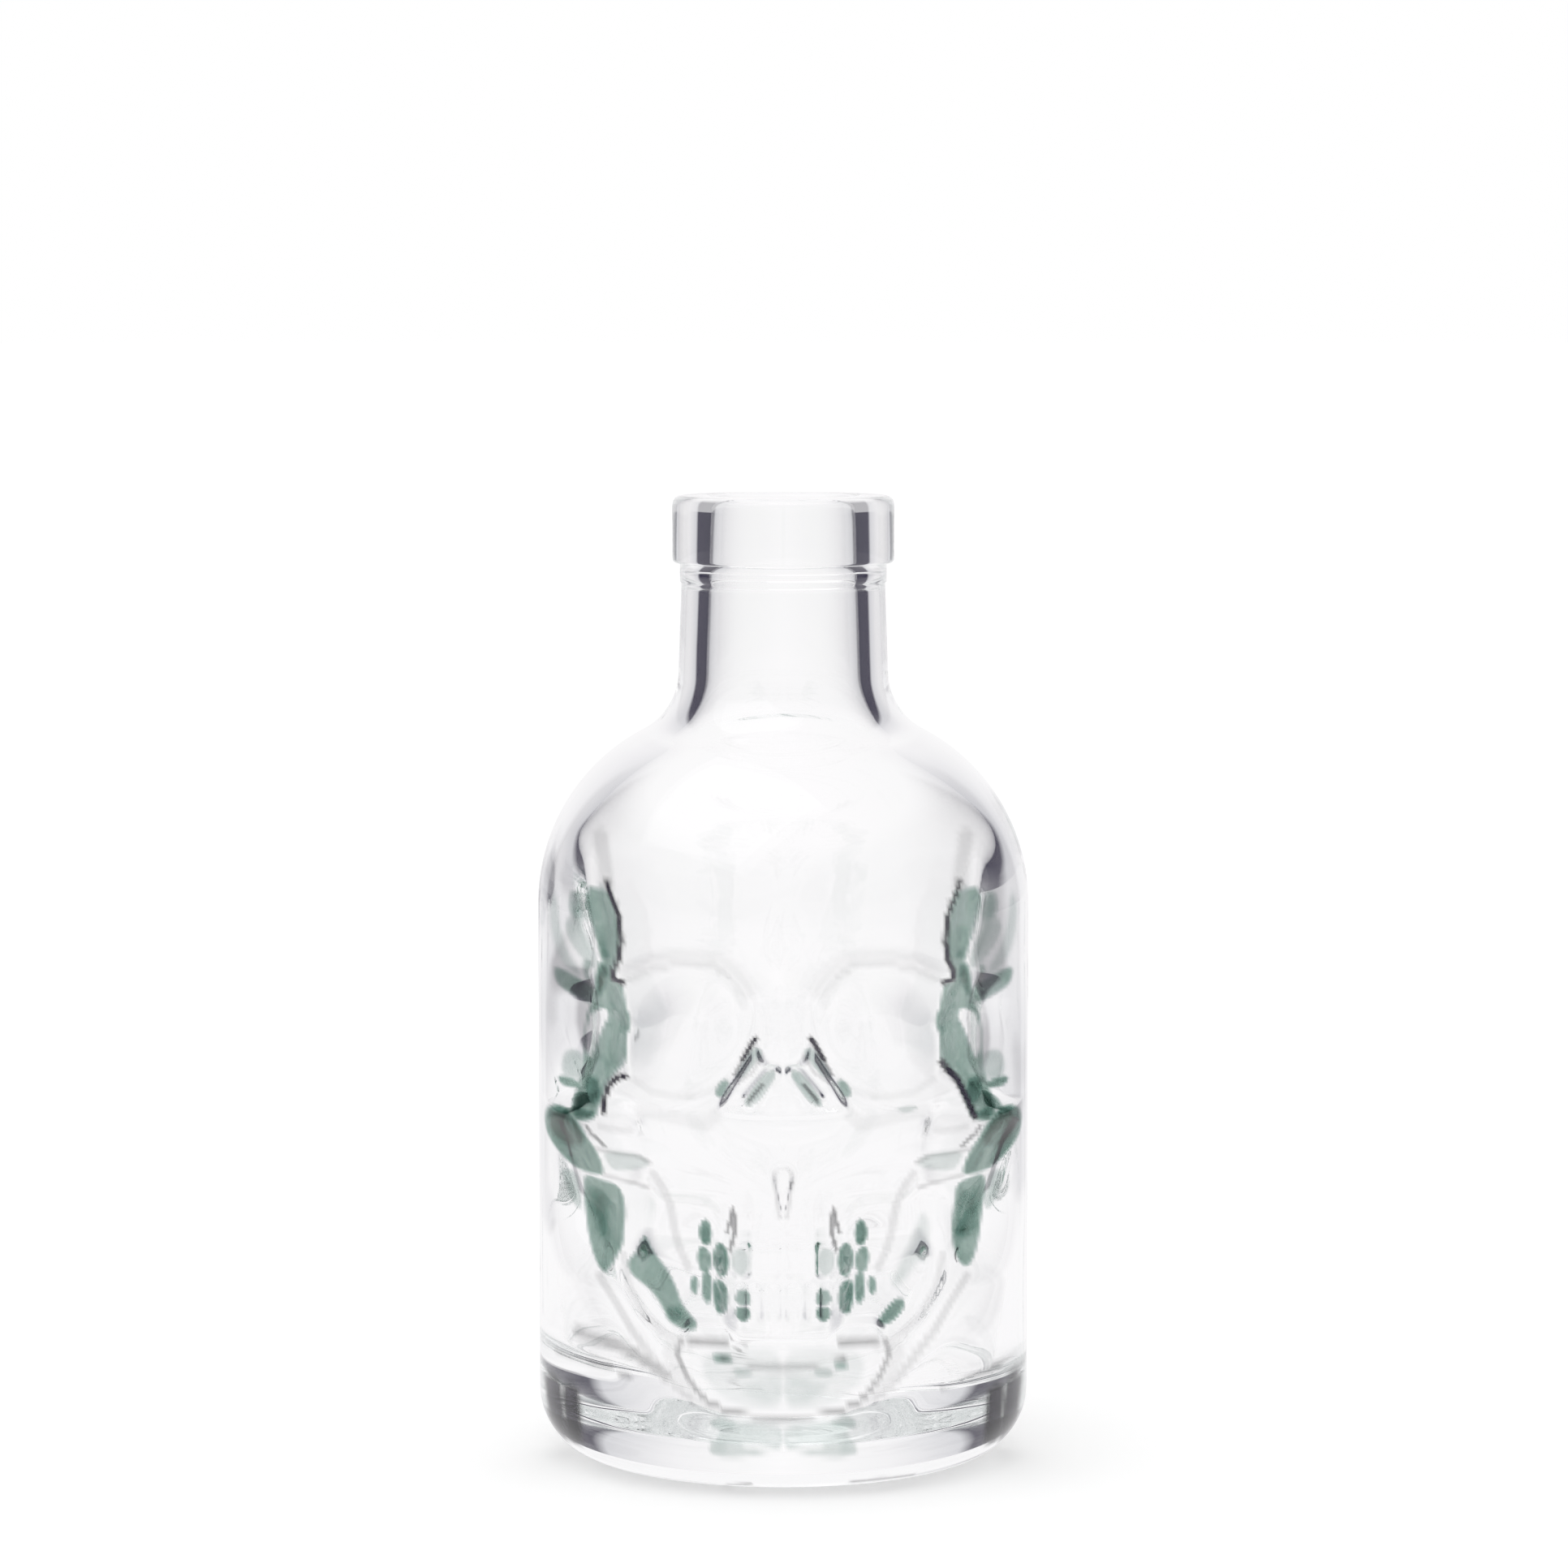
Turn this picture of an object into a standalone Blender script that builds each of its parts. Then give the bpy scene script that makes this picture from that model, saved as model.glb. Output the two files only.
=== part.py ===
"""Skull bottle: a small cork-mouth spirit bottle with a skull pressed into its front.

Lengths are metres. +Z is up, the bottle stands on z = 0 with its axis on Z, and the skull looks along -Y.

The bottle is one moulded piece of glass. A profile is turned round the axis to give the plain bottle,
inside and outside. The outside of the front half is then pushed back along +Y to the skull, which is the
way that the front half of the mould opens, so nothing on the skull is undercut. The inside follows at
the thickness of the wall and with its corners melted round, as blown glass does.

A point on the front is given by how far it lies across from the middle, its height, and its front, which
is how far it stands forward of the plane where the two halves of the mould meet.
"""

import math

import bpy
import numpy as np

# Plain bottle, outside
OVERALL_HEIGHT = 0.1307
BODY_RADIUS = 0.0333
SHOULDER_START = 0.0755
SHOULDER_RADIUS = 0.0265
NECK_TOP_RADIUS = 0.0138
NECK_FOOT_RADIUS = 0.0142
NECK_FILLET_RADIUS = 0.0090
LIP_RADIUS = 0.0150
LIP_HEIGHT = 0.0091
LIP_CORNER_RADIUS = 0.0012
LIP_UNDERSIDE_CORNER_RADIUS = 0.0005
COLLAR_HEIGHT = 0.0025
COLLAR_STEP = 0.0002
HEEL_RADIUS = 0.0090
BEARING_RING_WIDTH = 0.0028
PUNT_DEPTH = 0.0009

# Plain bottle, inside
WALL = 0.0036
BORE_RADIUS = 0.0097
BORE_FOOT_RADIUS = 0.0104
MOUTH_CORNER_RADIUS = 0.0008
BORE_FOOT_CORNER_RADIUS = 0.0124
FLOOR_THICKNESS = 0.0135
FLOOR_CORNER_RADIUS = 0.0030
FLOOR_CROWN = 0.0003

# Inside behind the skull, as it blows up against the pressed front
INSIDE_GRID_PITCH = 0.0006
INSIDE_CORNER_RADIUS = 0.0030
INSIDE_MELT = 0.0045
INSIDE_EVENING = 0.0014
INSIDE_LEAST_FRONT = 0.0012
LEAST_WALL = 0.0015

# Skull: its place on the bottle, and the recess that frees it from the sides
FACE_FOOT = 0.0115
FACE_HEIGHT = 0.0745
RECESS_TEMPLE_DEPTH = 0.0040
RECESS_SIDE_DEPTH = 0.0068
RECESS_BRANCH_DEPTH = 0.0100
RECESS_TOP_RAMP = 0.0090
RECESS_SIDE_RAMP = 0.0060
RECESS_BRANCH_RAMP = 0.0060
RECESS_JAW_RAMP = 0.0130
RECESS_EDGE = 0.0225
RECESS_EDGE_RAMP = 0.0108
RECESS_FILLET = 0.0022
CHEEK_TOP_DEPTH = 0.0036
CHEEK_FOOT_DEPTH = 0.0135
CHEEK_RAMP = 0.0100
CHEEK_EDGE = 0.0030

# Skull: forms that stand out, each with the rounding of its edge
SKULL_EDGE = 0.0010
SKULL_WALL_STEEPNESS = 1.8
MAXILLA_WALL_STEEPNESS = 1.5
MAXILLA_TURN = 0.0030
FACE_INSET = 0.0010
FACE_INSET_RAMP = 0.0140
ARCH_INSET = 0.0002
ARCH_EDGE = 0.0014
ARCH_TOP_STEEPNESS = 1.9
ARCH_UNDERSIDE_STEEPNESS = 0.9
ARCH_TURN = 0.0030
JAW_EDGE = 0.0014
JAW_WALL_STEEPNESS = 1.8
JAW_BRANCH_INSET = 0.0030
JAW_BODY_INSET = 0.0006
JAW_INSET_RAMP = 0.0140
JAW_GROOVE_DEPTH = 0.0014
JAW_GROOVE_REACH = 0.0060
CHIN_INSET = 0.0002
CHIN_SLOPE_WIDTH = 0.0018

# Skull: forms that are let in
BROW_DEPTH = 0.0008
BROW_REACH = 0.0026
BROW_SLOPE_WIDTH = 0.0016
SOCKET_FLOOR_FRONT = 0.0305
SOCKET_FLOOR_SIDE_FALL = 0.210
SOCKET_SLOPE_WIDTH = 0.0075
NASAL_ROOT_DEPTH = 0.0013
NASAL_ROOT_HALF_WIDTH = 0.0055
NASAL_ROOT_HALF_HEIGHT = 0.0035
NOSE_DEPTH = 0.0034
NOSE_SLOPE_WIDTH = 0.0019
NOSE_SILL_HEIGHT = 0.0055
NOSTRIL_DEPTH = 0.0023
NOSTRIL_HALF_WIDTH = 0.00135
CHEEK_DIMPLE_DEPTH = 0.0010
CHEEK_DIMPLE_HALF_WIDTH = 0.0040
CHEEK_DIMPLE_HALF_HEIGHT = 0.0028
SPINE_HEIGHT = 0.0018
SPINE_HALF_WIDTH = 0.0019
SPINE_FOOT_WIDTH_SHARE = 0.2
CHIN_FOLD_DEPTH = 0.0022
CHIN_FOLD_HALF_WIDTH = 0.0018

# Skull: muzzle and teeth
MUZZLE_FRONT_HALF_WIDTH = 0.0055
MUZZLE_SIDE_WIDTH = 0.0070
MUZZLE_FALL = 0.0135
MUZZLE_RAMP = 0.0075
GUM_DEPTH = 0.0009
GUM_RAMP = 0.0045
FRONT_TOOTH_RELIEF = 0.0006
SIDE_TOOTH_RELIEF = 0.0018
ROOT_RELIEF = 0.0009

# Fineness of the turned form before it is thinned, and the facets that are kept
TURN_STEPS = 300
FRONT_CROWDING_SHARE = 0.4
FACE_ROW_PITCH = 0.0005
PLAIN_ROW_PITCH = 0.0012
MERGE_DISTANCE = 0.000001
FACET_BUDGET = 12000

# Places on the face: shares of the body's radius across, and of the face's height above its foot.
# An outline that crosses the middle runs on to the far side of the bottle.
SKULL_OUTLINE_SHARES = (
    (-1.000, 1.188), (0.871, 1.188), (0.826, 1.054), (0.757, 0.987), (0.700, 0.919), (0.670, 0.875),
    (0.649, 0.834), (0.655, 0.793), (0.676, 0.757), (0.643, 0.745), (0.619, 0.698), (0.598, 0.672),
    (0.616, 0.656), (0.622, 0.607), (0.610, 0.584), (0.673, 0.566), (0.712, 0.540), (0.739, 0.510),
    (0.778, 0.477), (0.730, 0.444), (0.658, 0.428), (0.540, 0.421), (0.480, 0.383), (0.440, 0.336),
    (0.425, 0.299), (0.415, 0.235), (0.395, 0.179), (0.330, 0.146), (-1.000, 0.138))
ARCH_CREST_SHARE = 0.490
ARCH_OUTLINE_SHARES = (
    (0.571, 0.530), (0.721, 0.525), (0.853, 0.507), (1.036, 0.504), (1.036, 0.488), (0.871, 0.484),
    (0.802, 0.470), (0.721, 0.443), (0.640, 0.425), (0.571, 0.428))
JAW_OUTLINE_SHARES = (
    (0.625, 0.463), (0.643, 0.383), (0.637, 0.334), (0.655, 0.267), (0.709, 0.224),
    (0.688, 0.179), (0.613, 0.126), (0.474, 0.072), (0.330, 0.038), (0.189, 0.014), (-1.000, 0.010),
    (-1.000, 0.128), (0.240, 0.128), (0.354, 0.137), (0.474, 0.173), (0.607, 0.256), (0.547, 0.313),
    (0.532, 0.369), (0.532, 0.463))
CHEEK_OUTLINE_SHARES = (
    (-1.000, 0.463), (0.646, 0.463), (0.646, 0.248), (0.541, 0.168), (0.360, 0.114), (-1.000, 0.114))
SOCKET_OUTLINE_SHARES = (
    (0.780, 0.740), (0.601, 0.758), (0.511, 0.782), (0.411, 0.791), (0.261, 0.785), (0.174, 0.740),
    (0.141, 0.690), (0.192, 0.627), (0.330, 0.573), (0.480, 0.553), (0.600, 0.560), (0.780, 0.590))
CHIN_OUTLINE_SHARES = (
    (-0.300, 0.119), (0.330, 0.121), (0.402, 0.126), (0.372, 0.092), (0.300, 0.052), (0.189, 0.012),
    (-0.300, 0.000))
CHIN_FOLD_LINE_SHARES = ((0.000, 0.137), (0.360, 0.142))
NOSE_OUTLINE_SHARES = (
    (-0.120, 0.616), (0.000, 0.616), (0.072, 0.631), (0.105, 0.667), (0.147, 0.640), (0.285, 0.544),
    (0.246, 0.517), (-0.120, 0.509))
NOSTRIL_LINE_SHARES = ((0.036, 0.606), (0.136, 0.552))
SPINE_LINE_SHARES = ((0.000, 0.423), (0.000, 0.349))
NASAL_ROOT_SHARE = (0.000, 0.738)
CHEEK_DIMPLE_SHARE = (0.390, 0.470)
NOSE_SILL_SHARE = 0.503
RECESS_TOP_SHARE = 1.010
RECESS_SIDE_SHARE = 0.770
RECESS_BRANCH_SHARE = 0.500
RECESS_JAW_SHARE = 0.195
CHEEK_FOOT_SHARE = 0.242
FACE_INSET_SHARE = 0.812
JAW_INSET_SHARE = 0.060
MUZZLE_TOP_SHARE = 0.395
GUM_TOP_SHARE = 0.372
UPPER_TEETH_SHARES = (0.000, 0.120, 0.212, 0.276, 0.334, 0.385)
UPPER_TEETH_HEIGHT_SHARES = (0.236, 0.309)
LOWER_TEETH_SHARES = (0.000, 0.072, 0.138, 0.204, 0.279, 0.327, 0.369)
LOWER_TEETH_HEIGHT_SHARES = (0.162, 0.231)

GLASS_COLOUR = (0.93, 0.95, 0.94, 1.0)
GLASS_ROUGHNESS = 0.02
GLASS_INDEX = 1.52


def arc(centre, radius, start, end, pitch):
    """Points along an arc in the profile's plane, from one angle to another."""
    count = max(3, math.ceil(abs(end - start) * radius / pitch))
    angles = np.linspace(start, end, count + 1)
    return [(centre[0] + radius * math.cos(a), centre[1] + radius * math.sin(a)) for a in angles]


def line(start, end, pitch):
    """Points along a straight run in the profile's plane."""
    count = max(1, math.ceil(math.dist(start, end) / pitch))
    steps = np.linspace(0, 1, count + 1)
    return [(start[0] + (end[0] - start[0]) * s, start[1] + (end[1] - start[1]) * s) for s in steps]


def shoulder_fillet(shoulder_radius, neck_radius, fillet_radius):
    """Centre of the fillet between shoulder and neck, and the angle at which it meets the shoulder."""
    shoulder_across = BODY_RADIUS - SHOULDER_RADIUS
    across = neck_radius + fillet_radius - shoulder_across
    reach = shoulder_radius + fillet_radius
    rise = math.sqrt(reach ** 2 - across ** 2)
    centre = (neck_radius + fillet_radius, SHOULDER_START + rise)
    return centre, math.atan2(rise, across)


def outside_profile():
    """Outer line of the bottle from the mouth's corner down to the middle of the punt."""
    top = OVERALL_HEIGHT
    lip_foot = top - LIP_HEIGHT
    collar_foot = lip_foot - COLLAR_HEIGHT
    collar_radius = NECK_TOP_RADIUS + COLLAR_STEP
    shoulder_centre = (BODY_RADIUS - SHOULDER_RADIUS, SHOULDER_START)
    fillet_centre, meeting = shoulder_fillet(SHOULDER_RADIUS, NECK_FOOT_RADIUS, NECK_FILLET_RADIUS)
    ring_outer = BODY_RADIUS - HEEL_RADIUS
    ring_inner = ring_outer - BEARING_RING_WIDTH
    lip_centre = (LIP_RADIUS - LIP_CORNER_RADIUS, top - LIP_CORNER_RADIUS)
    under_centre = (LIP_RADIUS - LIP_UNDERSIDE_CORNER_RADIUS, lip_foot + LIP_UNDERSIDE_CORNER_RADIUS)
    runs = [
        arc(lip_centre, LIP_CORNER_RADIUS, math.pi / 2, 0, PLAIN_ROW_PITCH),
        arc(under_centre, LIP_UNDERSIDE_CORNER_RADIUS, 0, -math.pi / 2, PLAIN_ROW_PITCH),
        line((collar_radius, lip_foot), (collar_radius, collar_foot), COLLAR_HEIGHT),
        line((NECK_TOP_RADIUS, collar_foot - COLLAR_STEP), (NECK_FOOT_RADIUS, fillet_centre[1]),
             PLAIN_ROW_PITCH),
        arc(fillet_centre, NECK_FILLET_RADIUS, math.pi, math.pi + meeting, PLAIN_ROW_PITCH),
        arc(shoulder_centre, SHOULDER_RADIUS, meeting, 0, FACE_ROW_PITCH),
        line((BODY_RADIUS, SHOULDER_START), (BODY_RADIUS, HEEL_RADIUS), FACE_ROW_PITCH),
        arc((ring_outer, HEEL_RADIUS), HEEL_RADIUS, 0, -math.pi / 2, PLAIN_ROW_PITCH),
        line((ring_outer, 0), (ring_inner, 0), BEARING_RING_WIDTH),
        dome(ring_inner, 0, PUNT_DEPTH),
    ]
    return joined(runs)


def inside_profile():
    """Inner line of the bottle from the middle of the floor up to the mouth's corner."""
    top = OVERALL_HEIGHT
    inner_radius = BODY_RADIUS - WALL
    inner_shoulder = SHOULDER_RADIUS - WALL
    shoulder_centre = (BODY_RADIUS - SHOULDER_RADIUS, SHOULDER_START)
    corner_centre, meeting = shoulder_fillet(inner_shoulder, BORE_FOOT_RADIUS, BORE_FOOT_CORNER_RADIUS)
    floor_centre = (inner_radius - FLOOR_CORNER_RADIUS, FLOOR_THICKNESS + FLOOR_CORNER_RADIUS)
    mouth_centre = (BORE_RADIUS + MOUTH_CORNER_RADIUS, top - MOUTH_CORNER_RADIUS)
    floor = dome(floor_centre[0], FLOOR_THICKNESS, FLOOR_THICKNESS + FLOOR_CROWN)
    runs = [
        floor[::-1],
        arc(floor_centre, FLOOR_CORNER_RADIUS, -math.pi / 2, 0, PLAIN_ROW_PITCH),
        line((inner_radius, floor_centre[1]), (inner_radius, SHOULDER_START), PLAIN_ROW_PITCH),
        arc(shoulder_centre, inner_shoulder, 0, meeting, PLAIN_ROW_PITCH),
        arc(corner_centre, BORE_FOOT_CORNER_RADIUS, math.pi + meeting, math.pi, PLAIN_ROW_PITCH),
        line((BORE_FOOT_RADIUS, corner_centre[1]), (BORE_RADIUS, mouth_centre[1]), PLAIN_ROW_PITCH),
        arc(mouth_centre, MOUTH_CORNER_RADIUS, math.pi, math.pi / 2, PLAIN_ROW_PITCH),
    ]
    return joined(runs)


def dome(radius, edge_height, middle_height):
    """Points of a shallow dome from its edge to its middle, where it lies on the axis."""
    count = max(4, math.ceil(radius / PLAIN_ROW_PITCH / 2))
    shares = np.linspace(0, 1, count + 1)
    rise = middle_height - edge_height
    return [(radius * (1 - s), edge_height + rise * math.sin(s * math.pi / 2) ** 2) for s in shares]


def joined(runs):
    """One list of the runs' points, with the points that two runs share kept once."""
    points = []
    for run in runs:
        for point in run:
            if not points or math.dist(points[-1], point) > MERGE_DISTANCE:
                points.append(point)
    return points


def smooth_step(values):
    """Eases from 0 to 1 as the values go from 0 to 1."""
    eased = np.clip(values, 0, 1)
    return eased * eased * (3 - 2 * eased)


def mixed(first, second, share):
    """The first value where the share is 0, and the second where it is 1."""
    return first + (second - first) * share


def smooth_max(first, second, blend):
    """The larger of two fronts, with a fillet where they meet."""
    near = np.clip(blend - np.abs(first - second), 0, None)
    return np.maximum(first, second) + near * near / (4 * blend)


def rounded_ramp(distance, rounding):
    """Distance outside an outline, eased in over the rounding of the edge."""
    eased = (np.clip(distance + rounding / 2, 0, rounding)) ** 2 / (2 * rounding)
    return np.where(distance > rounding / 2, distance, eased)


def face_points(shares):
    """Places on the face in metres, from their shares."""
    return [(across * BODY_RADIUS, face_level(level)) for across, level in shares]


def softened(points):
    """A closed outline with its corners cut twice, so that it runs in curves."""
    for _ in range(2):
        pairs = list(zip(points, points[1:] + points[:1]))
        points = [
            (a[0] * s + b[0] * (1 - s), a[1] * s + b[1] * (1 - s)) for a, b in pairs for s in (0.75, 0.25)]
    return points


def face_level(share):
    """Height of a level of the face, from its share."""
    return FACE_FOOT + share * FACE_HEIGHT


def distance_to_line(start, end, across, height):
    """Distance of each place to a straight line between two points."""
    run = end[0] - start[0]
    rise = end[1] - start[1]
    along = ((across - start[0]) * run + (height - start[1]) * rise) / (run ** 2 + rise ** 2)
    along = np.clip(along, 0, 1)
    return np.hypot(across - start[0] - along * run, height - start[1] - along * rise)


def distance_outside(shares, across, height):
    """Distance of each place outside a closed outline. Inside the outline it is below zero."""
    points = softened(face_points(shares))
    nearest = np.full(across.shape, np.inf)
    inside = np.zeros(across.shape, bool)
    for start, end in zip(points, points[1:] + points[:1]):
        nearest = np.minimum(nearest, distance_to_line(start, end, across, height))
        if start[1] != end[1]:
            spans = (start[1] > height) != (end[1] > height)
            crossing = start[0] + (end[0] - start[0]) * (height - start[1]) / (end[1] - start[1])
            inside ^= spans & (across < crossing)
    return np.where(inside, -nearest, nearest)


def pit(distance, slope_width):
    """How fully a place lies in a pit, from 0 at its rim to 1 past its slope."""
    return smooth_step(-distance / slope_width)


def dent(place_share, half_width, half_height, across, height):
    """A soft round dent: 1 in its middle, fading outwards."""
    (middle_across, middle_height), = face_points([place_share])
    over = (across - middle_across) / half_width
    up = (height - middle_height) / half_height
    return np.exp(-over ** 2 - up ** 2)


def eye_sockets(across, height):
    """Depth of the brow's step and of the eye sockets, whose floors fall off a little to the sides."""
    distance = distance_outside(SOCKET_OUTLINE_SHARES, across, height)
    brow = pit(distance - BROW_REACH, BROW_SLOPE_WIDTH)
    floor = SOCKET_FLOOR_FRONT - SOCKET_FLOOR_SIDE_FALL * across
    depth = np.clip(plain_front(BODY_RADIUS, across) - floor, 0, None)
    return BROW_DEPTH * brow + depth * pit(distance, SOCKET_SLOPE_WIDTH)


def nose(across, height):
    """Depth of the nasal root, the nose opening and its two slots, less the spine below them."""
    root = dent(NASAL_ROOT_SHARE, NASAL_ROOT_HALF_WIDTH, NASAL_ROOT_HALF_HEIGHT, across, height)
    distance = distance_outside(NOSE_OUTLINE_SHARES, across, height)
    sill = smooth_step((height - face_level(NOSE_SILL_SHARE)) / NOSE_SILL_HEIGHT)
    slot_start, slot_end = face_points(NOSTRIL_LINE_SHARES)
    slot = distance_to_line(slot_start, slot_end, across, height)
    slot_share = smooth_step(1 - slot / NOSTRIL_HALF_WIDTH)
    spine_top, spine_foot = face_points(SPINE_LINE_SHARES)
    spine = distance_to_line(spine_top, spine_foot, across, height)
    taper = (height - spine_foot[1]) / (spine_top[1] - spine_foot[1])
    half_width = SPINE_HALF_WIDTH * np.clip(taper, SPINE_FOOT_WIDTH_SHARE, 1)
    spine_share = smooth_step(1 - spine / half_width)
    opening = NOSE_DEPTH * pit(distance, NOSE_SLOPE_WIDTH) * sill
    return NASAL_ROOT_DEPTH * root + opening + NOSTRIL_DEPTH * slot_share - SPINE_HEIGHT * spine_share


def tooth_row(edge_shares, height_shares, across, height):
    """Relief of one row of teeth: 1 on a crown's face, 0 in the gaps."""
    low, high = (face_level(share) for share in height_shares)
    up = (2 * height - low - high) / (high - low)
    row = np.zeros(across.shape)
    for left_share, right_share in zip(edge_shares, edge_shares[1:]):
        left, right = left_share * BODY_RADIUS, right_share * BODY_RADIUS
        over = (2 * across - left - right) / (right - left)
        crown = np.clip(1 - np.abs(over) ** 3 - up ** 4, 0, 1)
        row = np.maximum(row, np.sqrt(crown))
    return row


def root_bulges(across, height):
    """Relief of the upper teeth's roots above the gum line: 1 on a root, 0 between two."""
    gum_line = face_level(UPPER_TEETH_HEIGHT_SHARES[1])
    root_top = face_level(GUM_TOP_SHARE)
    fade = smooth_step((root_top - height) / (root_top - gum_line)) * (height > gum_line)
    row = np.zeros(across.shape)
    for left_share, right_share in zip(UPPER_TEETH_SHARES, UPPER_TEETH_SHARES[1:]):
        left, right = left_share * BODY_RADIUS, right_share * BODY_RADIUS
        over = (2 * across - left - right) / (right - left)
        row = np.maximum(row, np.clip(1 - over ** 2, 0, 1))
    return row * fade


def muzzle(across, height):
    """How far the muzzle and the teeth lie behind the plain bottle."""
    level = smooth_step((face_level(MUZZLE_TOP_SHARE) - height) / MUZZLE_RAMP)
    side = smooth_step((across - MUZZLE_FRONT_HALF_WIDTH) / MUZZLE_SIDE_WIDTH)
    gum = smooth_step((face_level(GUM_TOP_SHARE) - height) / GUM_RAMP)
    teeth = tooth_row(UPPER_TEETH_SHARES, UPPER_TEETH_HEIGHT_SHARES, across, height)
    teeth = np.maximum(teeth, tooth_row(LOWER_TEETH_SHARES, LOWER_TEETH_HEIGHT_SHARES, across, height))
    relief = mixed(FRONT_TOOTH_RELIEF, SIDE_TOOTH_RELIEF, side)
    roots = ROOT_RELIEF * root_bulges(across, height)
    return MUZZLE_FALL * side * level + GUM_DEPTH * gum - relief * teeth - roots


def raised_form(top, outline_shares, edge, steepness, across, height):
    """Front of a form that stands out: its top inside the outline, and a drafted wall outside it."""
    distance = distance_outside(outline_shares, across, height)
    return top - steepness * rounded_ramp(distance, edge)


def recess_depth(across, height):
    """Depth of the recess beside the skull, which runs out to the plain bottle all round."""
    side = smooth_step((face_level(RECESS_SIDE_SHARE) - height) / RECESS_SIDE_RAMP)
    branch = smooth_step((face_level(RECESS_BRANCH_SHARE) - height) / RECESS_BRANCH_RAMP)
    depth = mixed(RECESS_TEMPLE_DEPTH, RECESS_SIDE_DEPTH, side)
    depth = mixed(depth, RECESS_BRANCH_DEPTH, branch)
    jaw = smooth_step((height - face_level(RECESS_JAW_SHARE)) / RECESS_JAW_RAMP)
    beside_jaw = distance_outside(JAW_OUTLINE_SHARES, across, height)
    groove = JAW_GROOVE_DEPTH * smooth_step(1 - beside_jaw / JAW_GROOVE_REACH)
    depth = mixed(groove, depth, jaw)
    top = smooth_step((face_level(RECESS_TOP_SHARE) - height) / RECESS_TOP_RAMP)
    edge = smooth_step((RECESS_EDGE + RECESS_EDGE_RAMP - across) / RECESS_EDGE_RAMP)
    return depth * top * edge


def cheek_depth(height):
    """Depth of the hollow between the muzzle and the branch of the jaw, deepest at its foot."""
    up_cheek = smooth_step((height - face_level(CHEEK_FOOT_SHARE)) / CHEEK_RAMP)
    return mixed(CHEEK_FOOT_DEPTH, CHEEK_TOP_DEPTH, up_cheek)


def skull_front(plain, across, height):
    """Front of the skull without its jaw, with its walls to the sides."""
    let_in = eye_sockets(across, height) + nose(across, height) + muzzle(across, height)
    let_in += CHEEK_DIMPLE_DEPTH * dent(CHEEK_DIMPLE_SHARE, CHEEK_DIMPLE_HALF_WIDTH,
                                        CHEEK_DIMPLE_HALF_HEIGHT, across, height)
    let_in += FACE_INSET * smooth_step((face_level(FACE_INSET_SHARE) - height) / FACE_INSET_RAMP)
    above_maxilla = smooth_step((height - face_level(ARCH_CREST_SHARE)) / MAXILLA_TURN + 1)
    steepness = mixed(MAXILLA_WALL_STEEPNESS, SKULL_WALL_STEEPNESS, above_maxilla)
    return raised_form(plain - let_in, SKULL_OUTLINE_SHARES, SKULL_EDGE, steepness, across, height)


def arch_front(plain, across, height):
    """Front of the cheekbone's arch, whose underside is less steep than its top."""
    above_crest = smooth_step((height - face_level(ARCH_CREST_SHARE)) / ARCH_TURN + 1 / 2)
    steepness = mixed(ARCH_UNDERSIDE_STEEPNESS, ARCH_TOP_STEEPNESS, above_crest)
    return raised_form(plain - ARCH_INSET, ARCH_OUTLINE_SHARES, ARCH_EDGE, steepness, across, height)


def jaw_front(plain, across, height):
    """Front of the jaw, with the boss of the chin and the fold above it."""
    branch = smooth_step((height - face_level(JAW_INSET_SHARE)) / JAW_INSET_RAMP)
    inset = mixed(JAW_BODY_INSET, JAW_BRANCH_INSET, branch)
    chin = pit(distance_outside(CHIN_OUTLINE_SHARES, across, height), CHIN_SLOPE_WIDTH)
    inset = mixed(inset, CHIN_INSET, chin)
    fold_start, fold_end = face_points(CHIN_FOLD_LINE_SHARES)
    fold = distance_to_line(fold_start, fold_end, across, height)
    inset = inset + CHIN_FOLD_DEPTH * smooth_step(1 - fold / CHIN_FOLD_HALF_WIDTH)
    return raised_form(plain - inset, JAW_OUTLINE_SHARES, JAW_EDGE, JAW_WALL_STEEPNESS, across, height)


def face_front(plain, across, height):
    """Front of the outside of the glass, from the front of the plain bottle at each place."""
    across = np.abs(across)
    in_cheek = distance_outside(CHEEK_OUTLINE_SHARES, across, height)
    in_cheek = smooth_step(1 / 2 - in_cheek / CHEEK_EDGE)
    ground = plain - mixed(recess_depth(across, height), cheek_depth(height), in_cheek)
    front = smooth_max(skull_front(plain, across, height), arch_front(plain, across, height), ARCH_EDGE)
    front = smooth_max(front, jaw_front(plain, across, height), JAW_EDGE)
    front = smooth_max(front, ground, RECESS_FILLET)
    return np.minimum(front, plain)


def plain_front(radius, across):
    """Front of a turned surface, and far behind it where the surface doesn't reach."""
    inside = radius ** 2 - across ** 2
    return np.where(inside > 0, np.sqrt(np.clip(inside, 0, None)), -radius)


def worn_by_ball(front, radius, pitch):
    """The furthest forward that a ball's middle reaches when the ball stays behind a front."""
    reach = int(radius / pitch)
    padded = np.pad(front, reach, mode="edge")
    rows, columns = front.shape
    worn = np.full(front.shape, np.inf)
    for i in range(2 * reach + 1):
        for j in range(2 * reach + 1):
            left = radius ** 2 - ((i - reach) ** 2 + (j - reach) ** 2) * pitch ** 2
            if left > 0:
                worn = np.minimum(worn, padded[i:i + rows, j:j + columns] - math.sqrt(left))
    return worn


def rounded_behind(front):
    """Front of the inside at the wall's thickness behind a front, with its corners rounded."""
    worn = worn_by_ball(front, WALL + INSIDE_CORNER_RADIUS, INSIDE_GRID_PITCH)
    return -worn_by_ball(-worn, INSIDE_CORNER_RADIUS, INSIDE_GRID_PITCH)


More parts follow.
